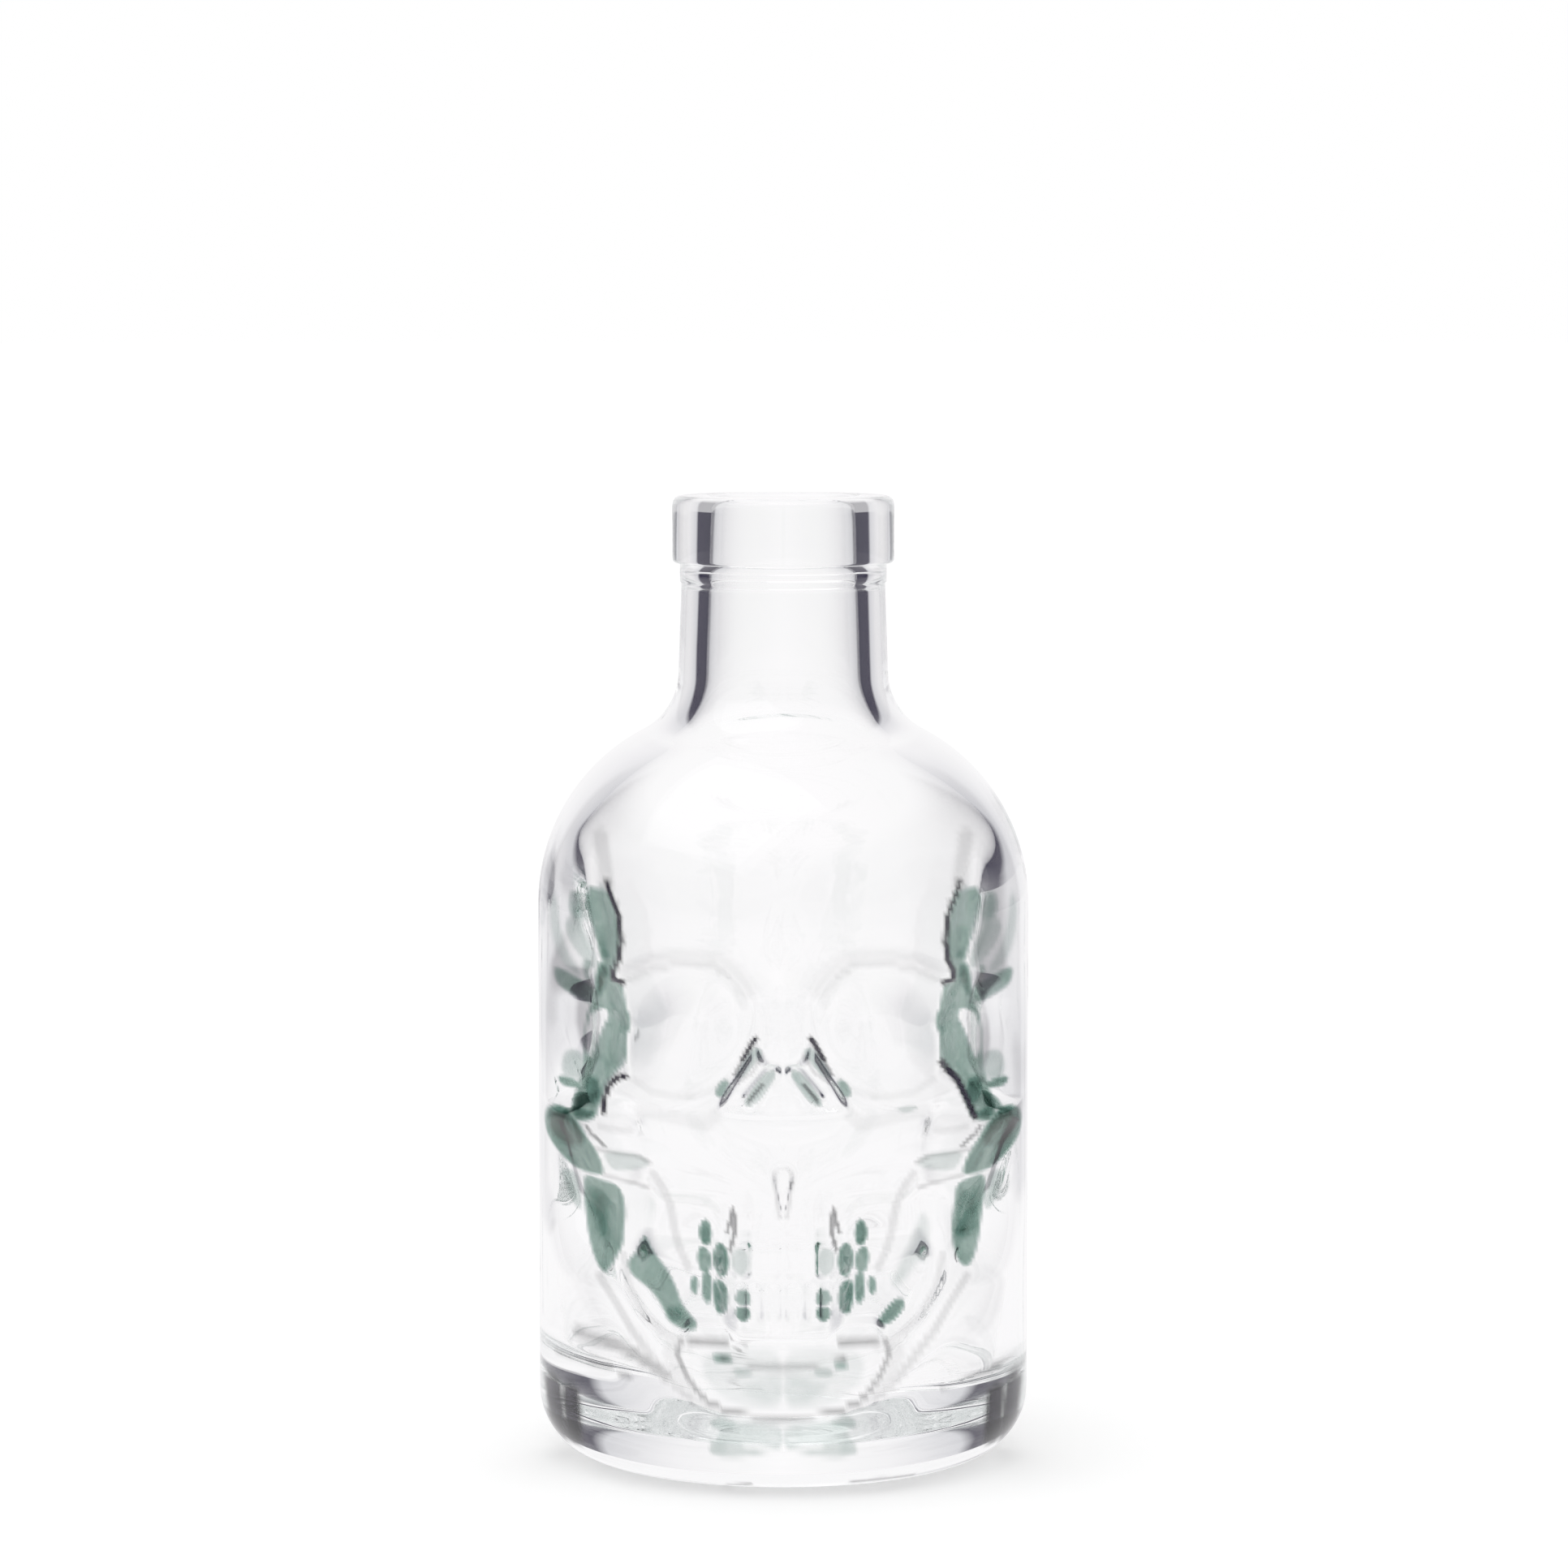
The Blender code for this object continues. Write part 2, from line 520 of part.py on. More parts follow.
def melted(values, spread):
    """The values of a grid, averaged over a soft round patch."""
    reach = math.ceil(3 * spread / INSIDE_GRID_PITCH)
    offsets = np.arange(-reach, reach + 1) * INSIDE_GRID_PITCH
    weights = np.exp(-(offsets / spread) ** 2 / 2)
    weights /= weights.sum()
    padded = np.pad(values, reach, mode="edge")
    rows, columns = values.shape
    along = sum(w * padded[i:i + rows, :] for i, w in enumerate(weights))
    return sum(w * along[:, j:j + columns] for j, w in enumerate(weights))


def inside_setback(profile):
    """A grid of how far the inside is pushed back behind the plain inside, and the grid's lines."""
    margin = 2 * WALL
    across_lines = np.arange(-BODY_RADIUS, BODY_RADIUS + INSIDE_GRID_PITCH, INSIDE_GRID_PITCH)
    height_lines = np.arange(FACE_FOOT - margin, FACE_FOOT + FACE_HEIGHT + margin, INSIDE_GRID_PITCH)
    across, height = np.meshgrid(across_lines, height_lines, indexing="ij")
    plain = plain_front(turned_radius(profile, height), across)
    face = face_front(plain, across, height)
    plain_inside = rounded_behind(plain)
    rounded = melted(rounded_behind(face) - plain_inside, INSIDE_MELT)
    limit = worn_by_ball(face, LEAST_WALL, INSIDE_GRID_PITCH) - plain_inside
    return across_lines, height_lines, melted(smooth_max(-rounded, -limit, LEAST_WALL), INSIDE_EVENING)


def grid_value(grid, across, height):
    """Value of a grid at each place, taken evenly between its lines."""
    across_lines, height_lines, values = grid
    i = np.clip((across - across_lines[0]) / INSIDE_GRID_PITCH, 0, len(across_lines) - 1)
    j = np.clip((height - height_lines[0]) / INSIDE_GRID_PITCH, 0, len(height_lines) - 1)
    i_low = np.minimum(i.astype(int), len(across_lines) - 2)
    j_low = np.minimum(j.astype(int), len(height_lines) - 2)
    i_part = i - i_low
    j_part = j - j_low
    low = values[i_low, j_low] * (1 - i_part) + values[i_low + 1, j_low] * i_part
    high = values[i_low, j_low + 1] * (1 - i_part) + values[i_low + 1, j_low + 1] * i_part
    return low * (1 - j_part) + high * j_part


def turned_radius(profile, height):
    """Radius of the plain outside at each height."""
    radii = np.array([point[0] for point in profile])
    heights = np.array([point[1] for point in profile])
    return np.interp(height, heights[::-1], radii[::-1])


def turn_profile(name, points, collection):
    """Turns the profile round Z with a Screw modifier and returns the result as a plain object."""
    mesh = bpy.data.meshes.new(name + "_profile")
    edges = [(i, i + 1) for i in range(len(points) - 1)]
    mesh.from_pydata([(across, 0, height) for across, height in points], edges, [])
    profile = bpy.data.objects.new(name + "_profile", mesh)
    collection.objects.link(profile)
    screw = profile.modifiers.new("Turn", "SCREW")
    screw.axis = "Z"
    screw.angle = 2 * math.pi
    screw.steps = TURN_STEPS
    screw.render_steps = TURN_STEPS
    screw.use_merge_vertices = True
    screw.merge_threshold = MERGE_DISTANCE
    depsgraph = bpy.context.evaluated_depsgraph_get()
    turned = bpy.data.objects.new(name, bpy.data.meshes.new_from_object(profile.evaluated_get(depsgraph)))
    turned.data.name = name
    collection.objects.link(turned)
    bpy.data.objects.remove(profile)
    return turned


def press_skull(bottle, outside):
    """Moves the mesh's points: columns crowd to the front, and the front takes the skull."""
    points = np.empty(len(bottle.data.vertices) * 3, np.float32)
    bottle.data.vertices.foreach_get("co", points)
    x, y, height = points.astype(float).reshape(-1, 3).T
    radius = np.hypot(x, y)
    from_front = np.arctan2(x, -y)
    from_front -= FRONT_CROWDING_SHARE * np.sin(from_front)
    across = radius * np.sin(from_front)
    plain = radius * np.cos(from_front)
    outer = radius > turned_radius(outside, height) - WALL / 2
    on_face = (plain > 0) & (height > HEEL_RADIUS) & (height < face_level(RECESS_TOP_SHARE))
    front = plain.copy()
    chosen = on_face & outer
    front[chosen] = face_front(plain[chosen], across[chosen], height[chosen])
    chosen = (plain > 0) & ~outer & (height > FLOOR_THICKNESS)
    setback = grid_value(inside_setback(outside), across[chosen], height[chosen])
    least = np.minimum(plain[chosen], INSIDE_LEAST_FRONT)
    front[chosen] = np.maximum(plain[chosen] - setback, least)
    moved = np.column_stack((across, -front, height)).astype(np.float32)
    bottle.data.vertices.foreach_set("co", moved.ravel())
    bottle.data.update()


def thin_facets(bottle):
    """Thins the mesh to the facets that its forms need, alike on both sides of the face."""
    triangles = sum(len(face.vertices) - 2 for face in bottle.data.polygons)
    decimate = bottle.modifiers.new("Thin", "DECIMATE")
    decimate.ratio = FACET_BUDGET / triangles
    decimate.use_symmetry = True
    decimate.symmetry_axis = "X"


def clear_glass():
    """Clear glass with the faint green of ordinary flint glass."""
    material = bpy.data.materials.new("clear_glass")
    material.use_nodes = True
    shader = material.node_tree.nodes["Principled BSDF"]
    shader.inputs["Base Color"].default_value = GLASS_COLOUR
    shader.inputs["Roughness"].default_value = GLASS_ROUGHNESS
    shader.inputs["Metallic"].default_value = 0
    shader.inputs["IOR"].default_value = GLASS_INDEX
    shader.inputs["Transmission Weight"].default_value = 1
    return material


def build():
    """Builds the bottle in its own collection."""
    for old in list(bpy.data.objects):
        bpy.data.objects.remove(old)
    collection = bpy.data.collections.new("skull_bottle")
    bpy.context.scene.collection.children.link(collection)
    outside = outside_profile()
    bottle = turn_profile("glass_bottle", inside_profile() + outside, collection)
    press_skull(bottle, outside)
    bottle.data.shade_smooth()
    thin_facets(bottle)
    bottle.data.materials.append(clear_glass())


build()
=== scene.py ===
"""Looks of the skull bottle: a small clear bottle for spirits with a skull pressed into its front.

The plain bottle is a line turned round Z by Geometry Nodes, inside and outside. The front of the glass
is then pushed back along +Y to the skull, as the front half of the mould does, and the inside follows at
the thickness of the wall, melted round as blown glass is. The skull looks along -Y. Lengths are metres.
"""

import logging
import math
from collections.abc import Mapping, Sequence
from dataclasses import dataclass, field
from enum import Enum
from typing import Any, ClassVar

import bpy
import numpy as np
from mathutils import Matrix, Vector

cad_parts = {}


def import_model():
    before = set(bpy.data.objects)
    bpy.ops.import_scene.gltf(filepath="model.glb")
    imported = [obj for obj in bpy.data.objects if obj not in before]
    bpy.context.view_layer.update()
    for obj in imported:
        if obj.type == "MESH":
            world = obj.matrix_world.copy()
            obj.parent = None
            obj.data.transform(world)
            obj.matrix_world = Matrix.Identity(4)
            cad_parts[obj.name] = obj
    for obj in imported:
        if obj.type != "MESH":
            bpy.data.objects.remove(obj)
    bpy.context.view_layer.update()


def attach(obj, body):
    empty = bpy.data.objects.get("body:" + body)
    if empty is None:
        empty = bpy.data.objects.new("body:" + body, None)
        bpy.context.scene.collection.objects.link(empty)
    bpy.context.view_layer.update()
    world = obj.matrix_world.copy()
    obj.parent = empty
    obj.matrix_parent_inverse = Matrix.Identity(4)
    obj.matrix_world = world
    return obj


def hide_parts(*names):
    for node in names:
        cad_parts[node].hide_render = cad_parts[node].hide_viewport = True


Point = tuple[float, float]
Shares = tuple[Point, ...]
Thousandths = tuple[tuple[int, int], ...]

# The mesh's attributes that hold the painted shade: dark colour painted on the skull's walls and in lines at
# the edges of its forms, standing in for the dark surroundings that the glass refracts there.
PAINTED_SHADE_SHARE = "painted_shade_share"
PAINTED_LINE_SHARE = "painted_line_share"
# The fewest steps in an arc and in a dome.
ARC_STEPS = 4
DOME_STEPS = 5
# Points of a line that are nearer than this are one point.
SAME_POINT = 0.00001
# A length that is as good as none.
SMALLEST_LENGTH = 0.000001
# Where each side of an outline is cut to round its corners, and how often.
CORNER_CUTS = (0.75, 0.25)
CUTTING_ROUNDS = 2
# Half a turn in degrees.
HALF_TURN = 180.0
# How often the path of the light may turn in the glass.
LIGHT_BOUNCES = 96

log = logging.getLogger("skull_bottle")


class Wire:
    """A node's output that can be used in sums, which then become Math nodes."""

    def __init__(self, maker: "NodeMaker", socket: bpy.types.NodeSocket) -> None:
        """Wraps an output of a node in the maker's tree."""
        self.maker = maker
        self.socket = socket

    def maths(self, operation: str, *others: Any) -> "Wire":
        """Adds a Math node that works on this wire and the others.

        Args:
            operation: The Math node's operation.
            others: Numbers or wires for its further inputs.

        Returns:
            The wire with the result.
        """
        values = dict(enumerate((self, *others)))
        return self.maker.node("ShaderNodeMath", {"operation": operation}, values).out()

    def reflected(self, operation: str, first: Any) -> "Wire":
        """Adds a Math node that has this wire as its second input."""
        return self.maker.node("ShaderNodeMath", {"operation": operation}, {0: first, 1: self}).out()

    def __add__(self, other: Any) -> "Wire":
        """This wire plus another."""
        return self.maths("ADD", other)

    __radd__ = __add__

    def __sub__(self, other: Any) -> "Wire":
        """This wire less another."""
        return self.maths("SUBTRACT", other)

    def __rsub__(self, other: Any) -> "Wire":
        """A number less this wire."""
        return self.reflected("SUBTRACT", other)

    def __mul__(self, other: Any) -> "Wire":
        """This wire times another."""
        return self.maths("MULTIPLY", other)

    __rmul__ = __mul__

    def __truediv__(self, other: Any) -> "Wire":
        """This wire divided by another."""
        return self.maths("DIVIDE", other)

    def __rtruediv__(self, other: Any) -> "Wire":
        """A number divided by this wire."""
        return self.reflected("DIVIDE", other)

    def clamped(self) -> "Wire":
        """This wire held between 0 and 1."""
        return self.maths("MINIMUM", 1.0).maths("MAXIMUM", 0.0)


class MadeNode:
    """A node that has just been made, with its outputs as wires."""

    def __init__(self, maker: "NodeMaker", node: bpy.types.Node) -> None:
        """Keeps the node and the maker of its tree."""
        self.maker = maker
        self.node = node

    def out(self, name: str | int = 0) -> Wire:
        """The wire from one of the node's outputs."""
        return Wire(self.maker, self.node.outputs[name])


class NodeMaker:
    """Makes the nodes of one tree, for a material, the world or Geometry Nodes."""

    def __init__(self, tree: bpy.types.NodeTree) -> None:
        """Works on the tree given."""
        self.tree = tree

    @classmethod
    def fresh(cls, owner: bpy.types.Material | bpy.types.World) -> "NodeMaker":
        """Empties the tree of a material or a world.

        Args:
            owner: The material or the world.

        Returns:
            The maker of its tree's nodes.
        """
        owner.use_nodes = True
        owner.node_tree.nodes.clear()
        return cls(owner.node_tree)

    def node(
        self,
        kind: str,
        settings: Mapping[str, Any] | None = None,
        values: Mapping[str | int, Any] | None = None,
    ) -> MadeNode:
        """Makes one node.

        Args:
            kind: The node's type.
            settings: Its own settings, which are set before its sockets.
            values: Values or wires for its inputs, by name or number.

        Returns:
            The node, ready to be wired on.
        """
        made = self.tree.nodes.new(kind)
        for name, value in (settings or {}).items():
            if name == "stops":
                self.set_stops(made.color_ramp, value)
            else:
                setattr(made, name, value)
        for name, value in (values or {}).items():
            if isinstance(value, Wire):
                self.tree.links.new(value.socket, made.inputs[name])
            else:
                made.inputs[name].default_value = value
        return MadeNode(self, made)

    @staticmethod
    def set_stops(ramp: bpy.types.ColorRamp, stops: Sequence[tuple[float, Sequence[float]]]) -> None:
        """Gives a colour ramp its stops.

        Args:
            ramp: The ramp, as it comes in a new node.
            stops: A position and a colour for each stop, in their order.
        """
        while len(ramp.elements) < len(stops):
            ramp.elements.new(0.5)
        for element, (position, colour) in zip(ramp.elements, stops):
            element.position = position
            element.color = colour

    def mixed_colour(self, share: Wire, first: Any, second: Any) -> Wire:
        """Mixes two colours by the Mix node's colour sockets, which only their numbers tell apart.

        Args:
            share: The second colour's share.
            first: The first colour.
            second: The second colour.

        Returns:
            The mix.
        """
        mix = self.node("ShaderNodeMix", {"data_type": "RGBA"}, {0: share, 6: first, 7: second})
        return mix.out(2)


def added(name: str, data: bpy.types.ID) -> bpy.types.Object:
    """Adds an object to the scene.

    Args:
        name: The object's name.
        data: Its mesh, lamp or camera.

    Returns:
        The object.
    """
    made = bpy.data.objects.new(name, data)
    bpy.context.scene.collection.objects.link(made)
    return made


class GeometryTree(NodeMaker):
    """A Geometry Nodes tree with named inputs, the first of which takes a line of points."""

    KINDS: ClassVar[dict[type, str]] = {
        int: "NodeSocketInt",
        float: "NodeSocketFloat",
        bpy.types.Material: "NodeSocketMaterial",
    }

    def __init__(self, name: str, values: Mapping[str, Any]) -> None:
        """Makes an empty tree.

        Args:
            name: The tree's name.
            values: The value of each named input after the line.
        """
        super().__init__(bpy.data.node_groups.new(name, "GeometryNodeTree"))
        self.values = values
        self.tree.interface.new_socket("Line", in_out="INPUT", socket_type="NodeSocketGeometry")
        for label, value in values.items():
            self.tree.interface.new_socket(label, in_out="INPUT", socket_type=self.KINDS[type(value)])
        self.tree.interface.new_socket("Geometry", in_out="OUTPUT", socket_type="NodeSocketGeometry")
        self.inputs = self.node("NodeGroupInput")

    def close(self, geometry: Wire) -> None:
        """Realises what the tree made, gives it its material and sends it out.

        Args:
            geometry: What the tree made.
        """
        real = self.node("GeometryNodeRealizeInstances", values={"Geometry": geometry}).out()
        smooth = self.node("GeometryNodeSetShadeSmooth", values={"Geometry": real}).out()
        dressed = self.node(
            "GeometryNodeSetMaterial", values={"Geometry": smooth, "Material": self.inputs.out("Material")}
        ).out()
        self.node("NodeGroupOutput", values={"Geometry": dressed})

    def result(self, name: str, line: bpy.types.Mesh) -> bpy.types.Object:
        """Runs the tree and keeps the result as a plain object.

        Args:
            name: The new object's name.
            line: The mesh that the modifier sits on, which is empty where the tree takes no line.

        Returns:
            The object, in the scene, without a modifier.
        """
        holder = added(name + "_holder", line)
        modifier = holder.modifiers.new(name, "NODES")
        modifier.node_group = self.tree
        for item in self.tree.interface.items_tree:
            if item.in_out == "INPUT" and item.name in self.values:
                modifier[item.identifier] = self.values[item.name]
        depsgraph = bpy.context.evaluated_depsgraph_get()
        mesh = bpy.data.meshes.new_from_object(holder.evaluated_get(depsgraph))
        mesh.name = name
        bpy.data.objects.remove(holder)
        return added(name, mesh)


@dataclass(frozen=True)
class ClearGlass:
    """Flint glass: clear, with a faint grey-green where the light's way through it is long."""

    index: float = 1.52
    roughness: float = 0.0
    tint: tuple[float, float, float] = (0.62, 0.78, 0.74)
    tint_density: float = 0.25
    ripple_pitch: float = 0.012
    ripple_height: float = 0.00006
    ripple_detail: float = 1.0
    ripple_roughness: float = 0.4
    seam_width: float = 0.00025
    seam_height: float = 0.000015
    seam_end: float = 0.0001
    # Painted shade: the colours that the skull's walls take by their painted share, and the colour of the
    # painted dark lines, standing in for refracted dark surroundings.
    painted_shade_stops: tuple[tuple[float, tuple[float, float, float]], ...] = (
        (0.00, (1.0, 1.0, 1.0)),
        (0.10, (0.52, 0.58, 0.56)),
        (0.30, (0.22, 0.31, 0.28)),
        (0.50, (0.090, 0.170, 0.135)),
        (0.75, (0.020, 0.062, 0.044)),
        (1.00, (0.0012, 0.0074, 0.0039)),
    )
    painted_line_colour: tuple[float, float, float] = (0.0030, 0.0025, 0.0045)
    # Noise that streaks the painted shade.
    marble_pitch: float = 0.0060
    marble_strength: float = 0.9
    marble_detail: float = 3.0
    marble_swirl: float = 1.2
    marble_middle: float = 0.5

    def material(self, lip_foot: float, body_top: float) -> bpy.types.Material:
        """Makes the material, with the ripples of the mould and the seams where its parts met.

        Args:
            lip_foot: Height above which the seam is on the front and back.
            body_top: Height below which the seam is on the left and right.

        Returns:
            The glass.
        """
        glass = bpy.data.materials.new("clear_glass")
        maker = NodeMaker.fresh(glass)
        place = maker.node("ShaderNodeTexCoord").out("Object")
        axes = maker.node("ShaderNodeSeparateXYZ", values={0: place})
        across, depth, height = axes.out("X"), axes.out("Y"), axes.out("Z")
        ripples = maker.node(
            "ShaderNodeTexNoise",
            values={
                "Vector": place,
                "Scale": 1 / self.ripple_pitch,
                "Detail": self.ripple_detail,
                "Roughness": self.ripple_roughness,
            },
        ).out(0)
        on_lip = ((height - lip_foot) / self.seam_end).clamped()
        on_body = ((body_top - height) / self.seam_end).clamped()
        lip_seam = (1.0 - across.maths("ABSOLUTE") / self.seam_width).clamped() * on_lip
        body_seam = (1.0 - depth.maths("ABSOLUTE") / self.seam_width).clamped() * on_body
        relief = ripples * self.ripple_height + (lip_seam + body_seam) * self.seam_height
        bump = maker.node(
            "ShaderNodeBump", values={"Strength": 1.0, "Distance": 1.0, "Height": relief}
        ).out()
        surface = maker.node(
            "ShaderNodeBsdfPrincipled",
            values={
                "Base Color": self.colour(maker, place),
                "Roughness": self.roughness,
                "IOR": self.index,
                "Transmission Weight": 1.0,
                "Normal": bump,
            },
        ).out()
        inside = maker.node(
            "ShaderNodeVolumeAbsorption",
            values={"Color": (*self.tint, 1.0), "Density": self.tint_density},
        ).out()
        maker.node("ShaderNodeOutputMaterial", values={"Surface": surface, "Volume": inside})
        return glass

    def colour(self, maker: NodeMaker, place: Wire) -> Wire:
        """Colour of the surface: clear, but with painted shade, streaked green-grey, on the skull's walls,
        and painted dark lines.

        Args:
            maker: Maker of the tree's nodes.
            place: The place on the glass.

        Returns:
            The colour.
        """
        marble = maker.node(
            "ShaderNodeTexNoise",
            values={
                "Vector": place,
                "Scale": 1 / self.marble_pitch,
                "Detail": self.marble_detail,
                "Distortion": self.marble_swirl,
            },
        ).out(0)
        # The painted shade's share on the skull's walls, streaked by the noise.
        wall = maker.node("ShaderNodeAttribute", {"attribute_name": PAINTED_SHADE_SHARE}).out("Fac")
        wall = wall * ((marble - self.marble_middle) * self.marble_strength + 1.0)
        stops = [(share, (*colour, 1.0)) for share, colour in self.painted_shade_stops]
        walls = maker.node("ShaderNodeValToRGB", {"stops": stops}, {0: wall.clamped()}).out(0)
        # The painted dark lines' share.
        painted_line = maker.node("ShaderNodeAttribute", {"attribute_name": PAINTED_LINE_SHARE}).out("Fac")
        return maker.mixed_colour(painted_line.clamped(), walls, (*self.painted_line_colour, 1.0))


@dataclass(frozen=True)
class BottleLine:
    """The line that is turned into the plain bottle: its sizes, and its points inside and outside."""

    overall_height: float = 0.1307
    body_radius: float = 0.0333
    shoulder_start: float = 0.0755
    shoulder_radius: float = 0.0265
    neck_top_radius: float = 0.0138
    neck_foot_radius: float = 0.0142
    neck_fillet: float = 0.0090
    lip_radius: float = 0.0150
    lip_height: float = 0.0091
    lip_corner: float = 0.0012
    lip_under_corner: float = 0.0005
    collar_height: float = 0.0025
    collar_step: float = 0.0002
    heel_radius: float = 0.0090
    ring_width: float = 0.0028
    ring_rise: float = 0.0002
    punt_depth: float = 0.0009
    wall: float = 0.0036
    bore_radius: float = 0.0097
    bore_foot_radius: float = 0.0104
    mouth_corner: float = 0.0008
    bore_foot_corner: float = 0.0124
    floor_thickness: float = 0.0135
    floor_corner: float = 0.0022
    floor_crown: float = 0.0003
    fine_pitch: float = 0.00038
    soft_pitch: float = 0.0009
    plain_pitch: float = 0.0010
    inner_pitch: float = 0.0022
    fine_stretch: tuple[float, float] = (0.0215, 0.0690)

    @staticmethod
    def arc(centre: Point, radius: float, start: float, end: float, pitch: float) -> list[Point]:
        """Makes the points along an arc.

        Args:
            centre: The arc's centre.
            radius: Its radius.
            start: The angle that it starts at.
            end: The angle that it ends at.
            pitch: The longest step between two points.

        Returns:
            The points, with both ends.
        """
        count = max(ARC_STEPS, math.ceil(abs(end - start) * radius / pitch))
        angles = np.linspace(start, end, count + 1)
        return [(centre[0] + radius * math.cos(a), centre[1] + radius * math.sin(a)) for a in angles]

    @staticmethod
    def straight(start: Point, end: Point, pitch: float) -> list[Point]:
        """Makes the points along a straight run.

        Args:
            start: Its first point.
            end: Its last point.
            pitch: The longest step between two points.

        Returns:
            The points, with both ends.
        """
        count = max(1, math.ceil(math.dist(start, end) / pitch))
        steps = np.linspace(0.0, 1.0, count + 1)
        return [(blend(start[0], end[0], step), blend(start[1], end[1], step)) for step in steps]

    @staticmethod
    def dome(radius: float, edge: float, middle: float, pitch: float) -> list[Point]:
        """Makes the points of a shallow dome.

        Args:
            radius: How far its edge is from the middle.
            edge: The height of its edge.
            middle: The height of its middle.
            pitch: The longest step between two points.

        Returns:
            The points from the edge to the middle.
        """
        count = max(DOME_STEPS, math.ceil(radius / pitch))
        steps = np.linspace(0.0, 1.0, count + 1)
        rise = middle - edge
        return [(radius * (1 - s), edge + rise * math.sin(s * math.pi / 2) ** 2) for s in steps]

    @staticmethod
    def joined(runs: Sequence[Sequence[Point]]) -> list[Point]:
        """Joins runs of points.

        Args:
            runs: The runs, in their order.

        Returns:
            One list, with a point that two runs share kept once.
        """
        points: list[Point] = []
        for run in runs:
            for point in run:
                if not points or math.dist(points[-1], point) > SAME_POINT:
                    points.append(point)
        return points

    def shoulder_fillet(self, shoulder: float, neck: float, fillet: float) -> tuple[Point, float]:
        """Works out the fillet between the shoulder and the neck.

        Args:
            shoulder: The shoulder's radius.
            neck: The neck's radius at its foot.
            fillet: The fillet's own radius.

        Returns:
            The fillet's centre, and the angle where it meets the shoulder.
        """
        across = neck + fillet - (self.body_radius - self.shoulder_radius)
        rise = math.sqrt((shoulder + fillet) ** 2 - across**2)
        return (neck + fillet, self.shoulder_start + rise), math.atan2(rise, across)

    def outside(self) -> list[Point]:
        """Makes the outer line.

        Returns:
            Its points from the mouth's corner down to the middle of the punt.
        """
        top = self.overall_height
        lip_foot = top - self.lip_height
        collar_foot = lip_foot - self.collar_height
        collar = self.neck_top_radius + self.collar_step
        shoulder = (self.body_radius - self.shoulder_radius, self.shoulder_start)
        fillet, meeting = self.shoulder_fillet(self.shoulder_radius, self.neck_foot_radius, self.neck_fillet)
        ring_outer = self.body_radius - self.heel_radius
        ring_inner = ring_outer - self.ring_width
        rise = self.ring_rise
        heel = self.heel_radius + rise
        lip = (self.lip_radius - self.lip_corner, top - self.lip_corner)
        under = (self.lip_radius - self.lip_under_corner, lip_foot + self.lip_under_corner)
        low, high = self.fine_stretch
        plain, soft, fine = self.plain_pitch, self.soft_pitch, self.fine_pitch
        return self.joined(
            [
                self.arc(lip, self.lip_corner, math.pi / 2, 0.0, plain),
                self.arc(under, self.lip_under_corner, 0.0, -math.pi / 2, plain),
                self.straight((collar, lip_foot), (collar, collar_foot), self.collar_height),
                self.straight(
                    (self.neck_top_radius, collar_foot - self.collar_step),
                    (self.neck_foot_radius, fillet[1]),
                    plain,
                ),
                self.arc(fillet, self.neck_fillet, math.pi, math.pi + meeting, plain),
                self.arc(shoulder, self.shoulder_radius, meeting, 0.0, soft),
                self.straight((self.body_radius, self.shoulder_start), (self.body_radius, high), soft),
                self.straight((self.body_radius, high), (self.body_radius, low), fine),
                self.straight((self.body_radius, low), (self.body_radius, heel), soft),
                self.arc((ring_outer, heel), self.heel_radius, 0.0, -math.pi / 2, plain),
                self.straight((ring_outer, rise), (ring_inner, rise), plain),
                self.dome(ring_inner, rise, self.punt_depth, 2 * plain),
            ]
        )

    def inside(self) -> list[Point]:
        """Makes the inner line.

        Returns:
            Its points from the middle of the floor up to the mouth's corner.
        """
        top = self.overall_height
        radius = self.body_radius - self.wall
        shoulder_radius = self.shoulder_radius - self.wall
        shoulder = (self.body_radius - self.shoulder_radius, self.shoulder_start)
        corner, meeting = self.shoulder_fillet(shoulder_radius, self.bore_foot_radius, self.bore_foot_corner)
        floor = (radius - self.floor_corner, self.floor_thickness + self.floor_corner)
        mouth = (self.bore_radius + self.mouth_corner, top - self.mouth_corner)
        crown = self.floor_thickness + self.floor_crown
        pitch = self.inner_pitch
        return self.joined(
            [
                self.dome(floor[0], self.floor_thickness, crown, pitch)[::-1],
                self.arc(floor, self.floor_corner, -math.pi / 2, 0.0, self.plain_pitch),
                self.straight((radius, floor[1]), (radius, self.shoulder_start), pitch),
                self.arc(shoulder, shoulder_radius, 0.0, meeting, pitch),
                self.arc(corner, self.bore_foot_corner, math.pi + meeting, math.pi, self.plain_pitch),
                self.straight((self.bore_foot_radius, corner[1]), (self.bore_radius, mouth[1]), pitch),
                self.arc(mouth, self.mouth_corner, math.pi, math.pi / 2, self.plain_pitch),
            ]
        )

    def radius_at(self, height: np.ndarray) -> np.ndarray:
        """Radius of the plain outside at each height."""
        line = np.array(self.outside())
        return np.interp(height, line[::-1, 1], line[::-1, 0])


def blend(first: Any, second: Any, share: Any) -> Any:
    """Goes from the first value to the second as the share goes from 0 to 1."""
    return first + (second - first) * share


def smooth_step(values: np.ndarray) -> np.ndarray:
    """Eases from 0 to 1 as the values go from 0 to 1."""
    eased = np.clip(values, 0.0, 1.0)
    return eased * eased * (3.0 - 2.0 * eased)


def smooth_max(first: np.ndarray, second: np.ndarray, fillet: float) -> np.ndarray:
    """The larger of two fronts, with a fillet where they meet."""
    near = np.clip(fillet - np.abs(first - second), 0.0, None)
    return np.maximum(first, second) + near * near / (4.0 * fillet)


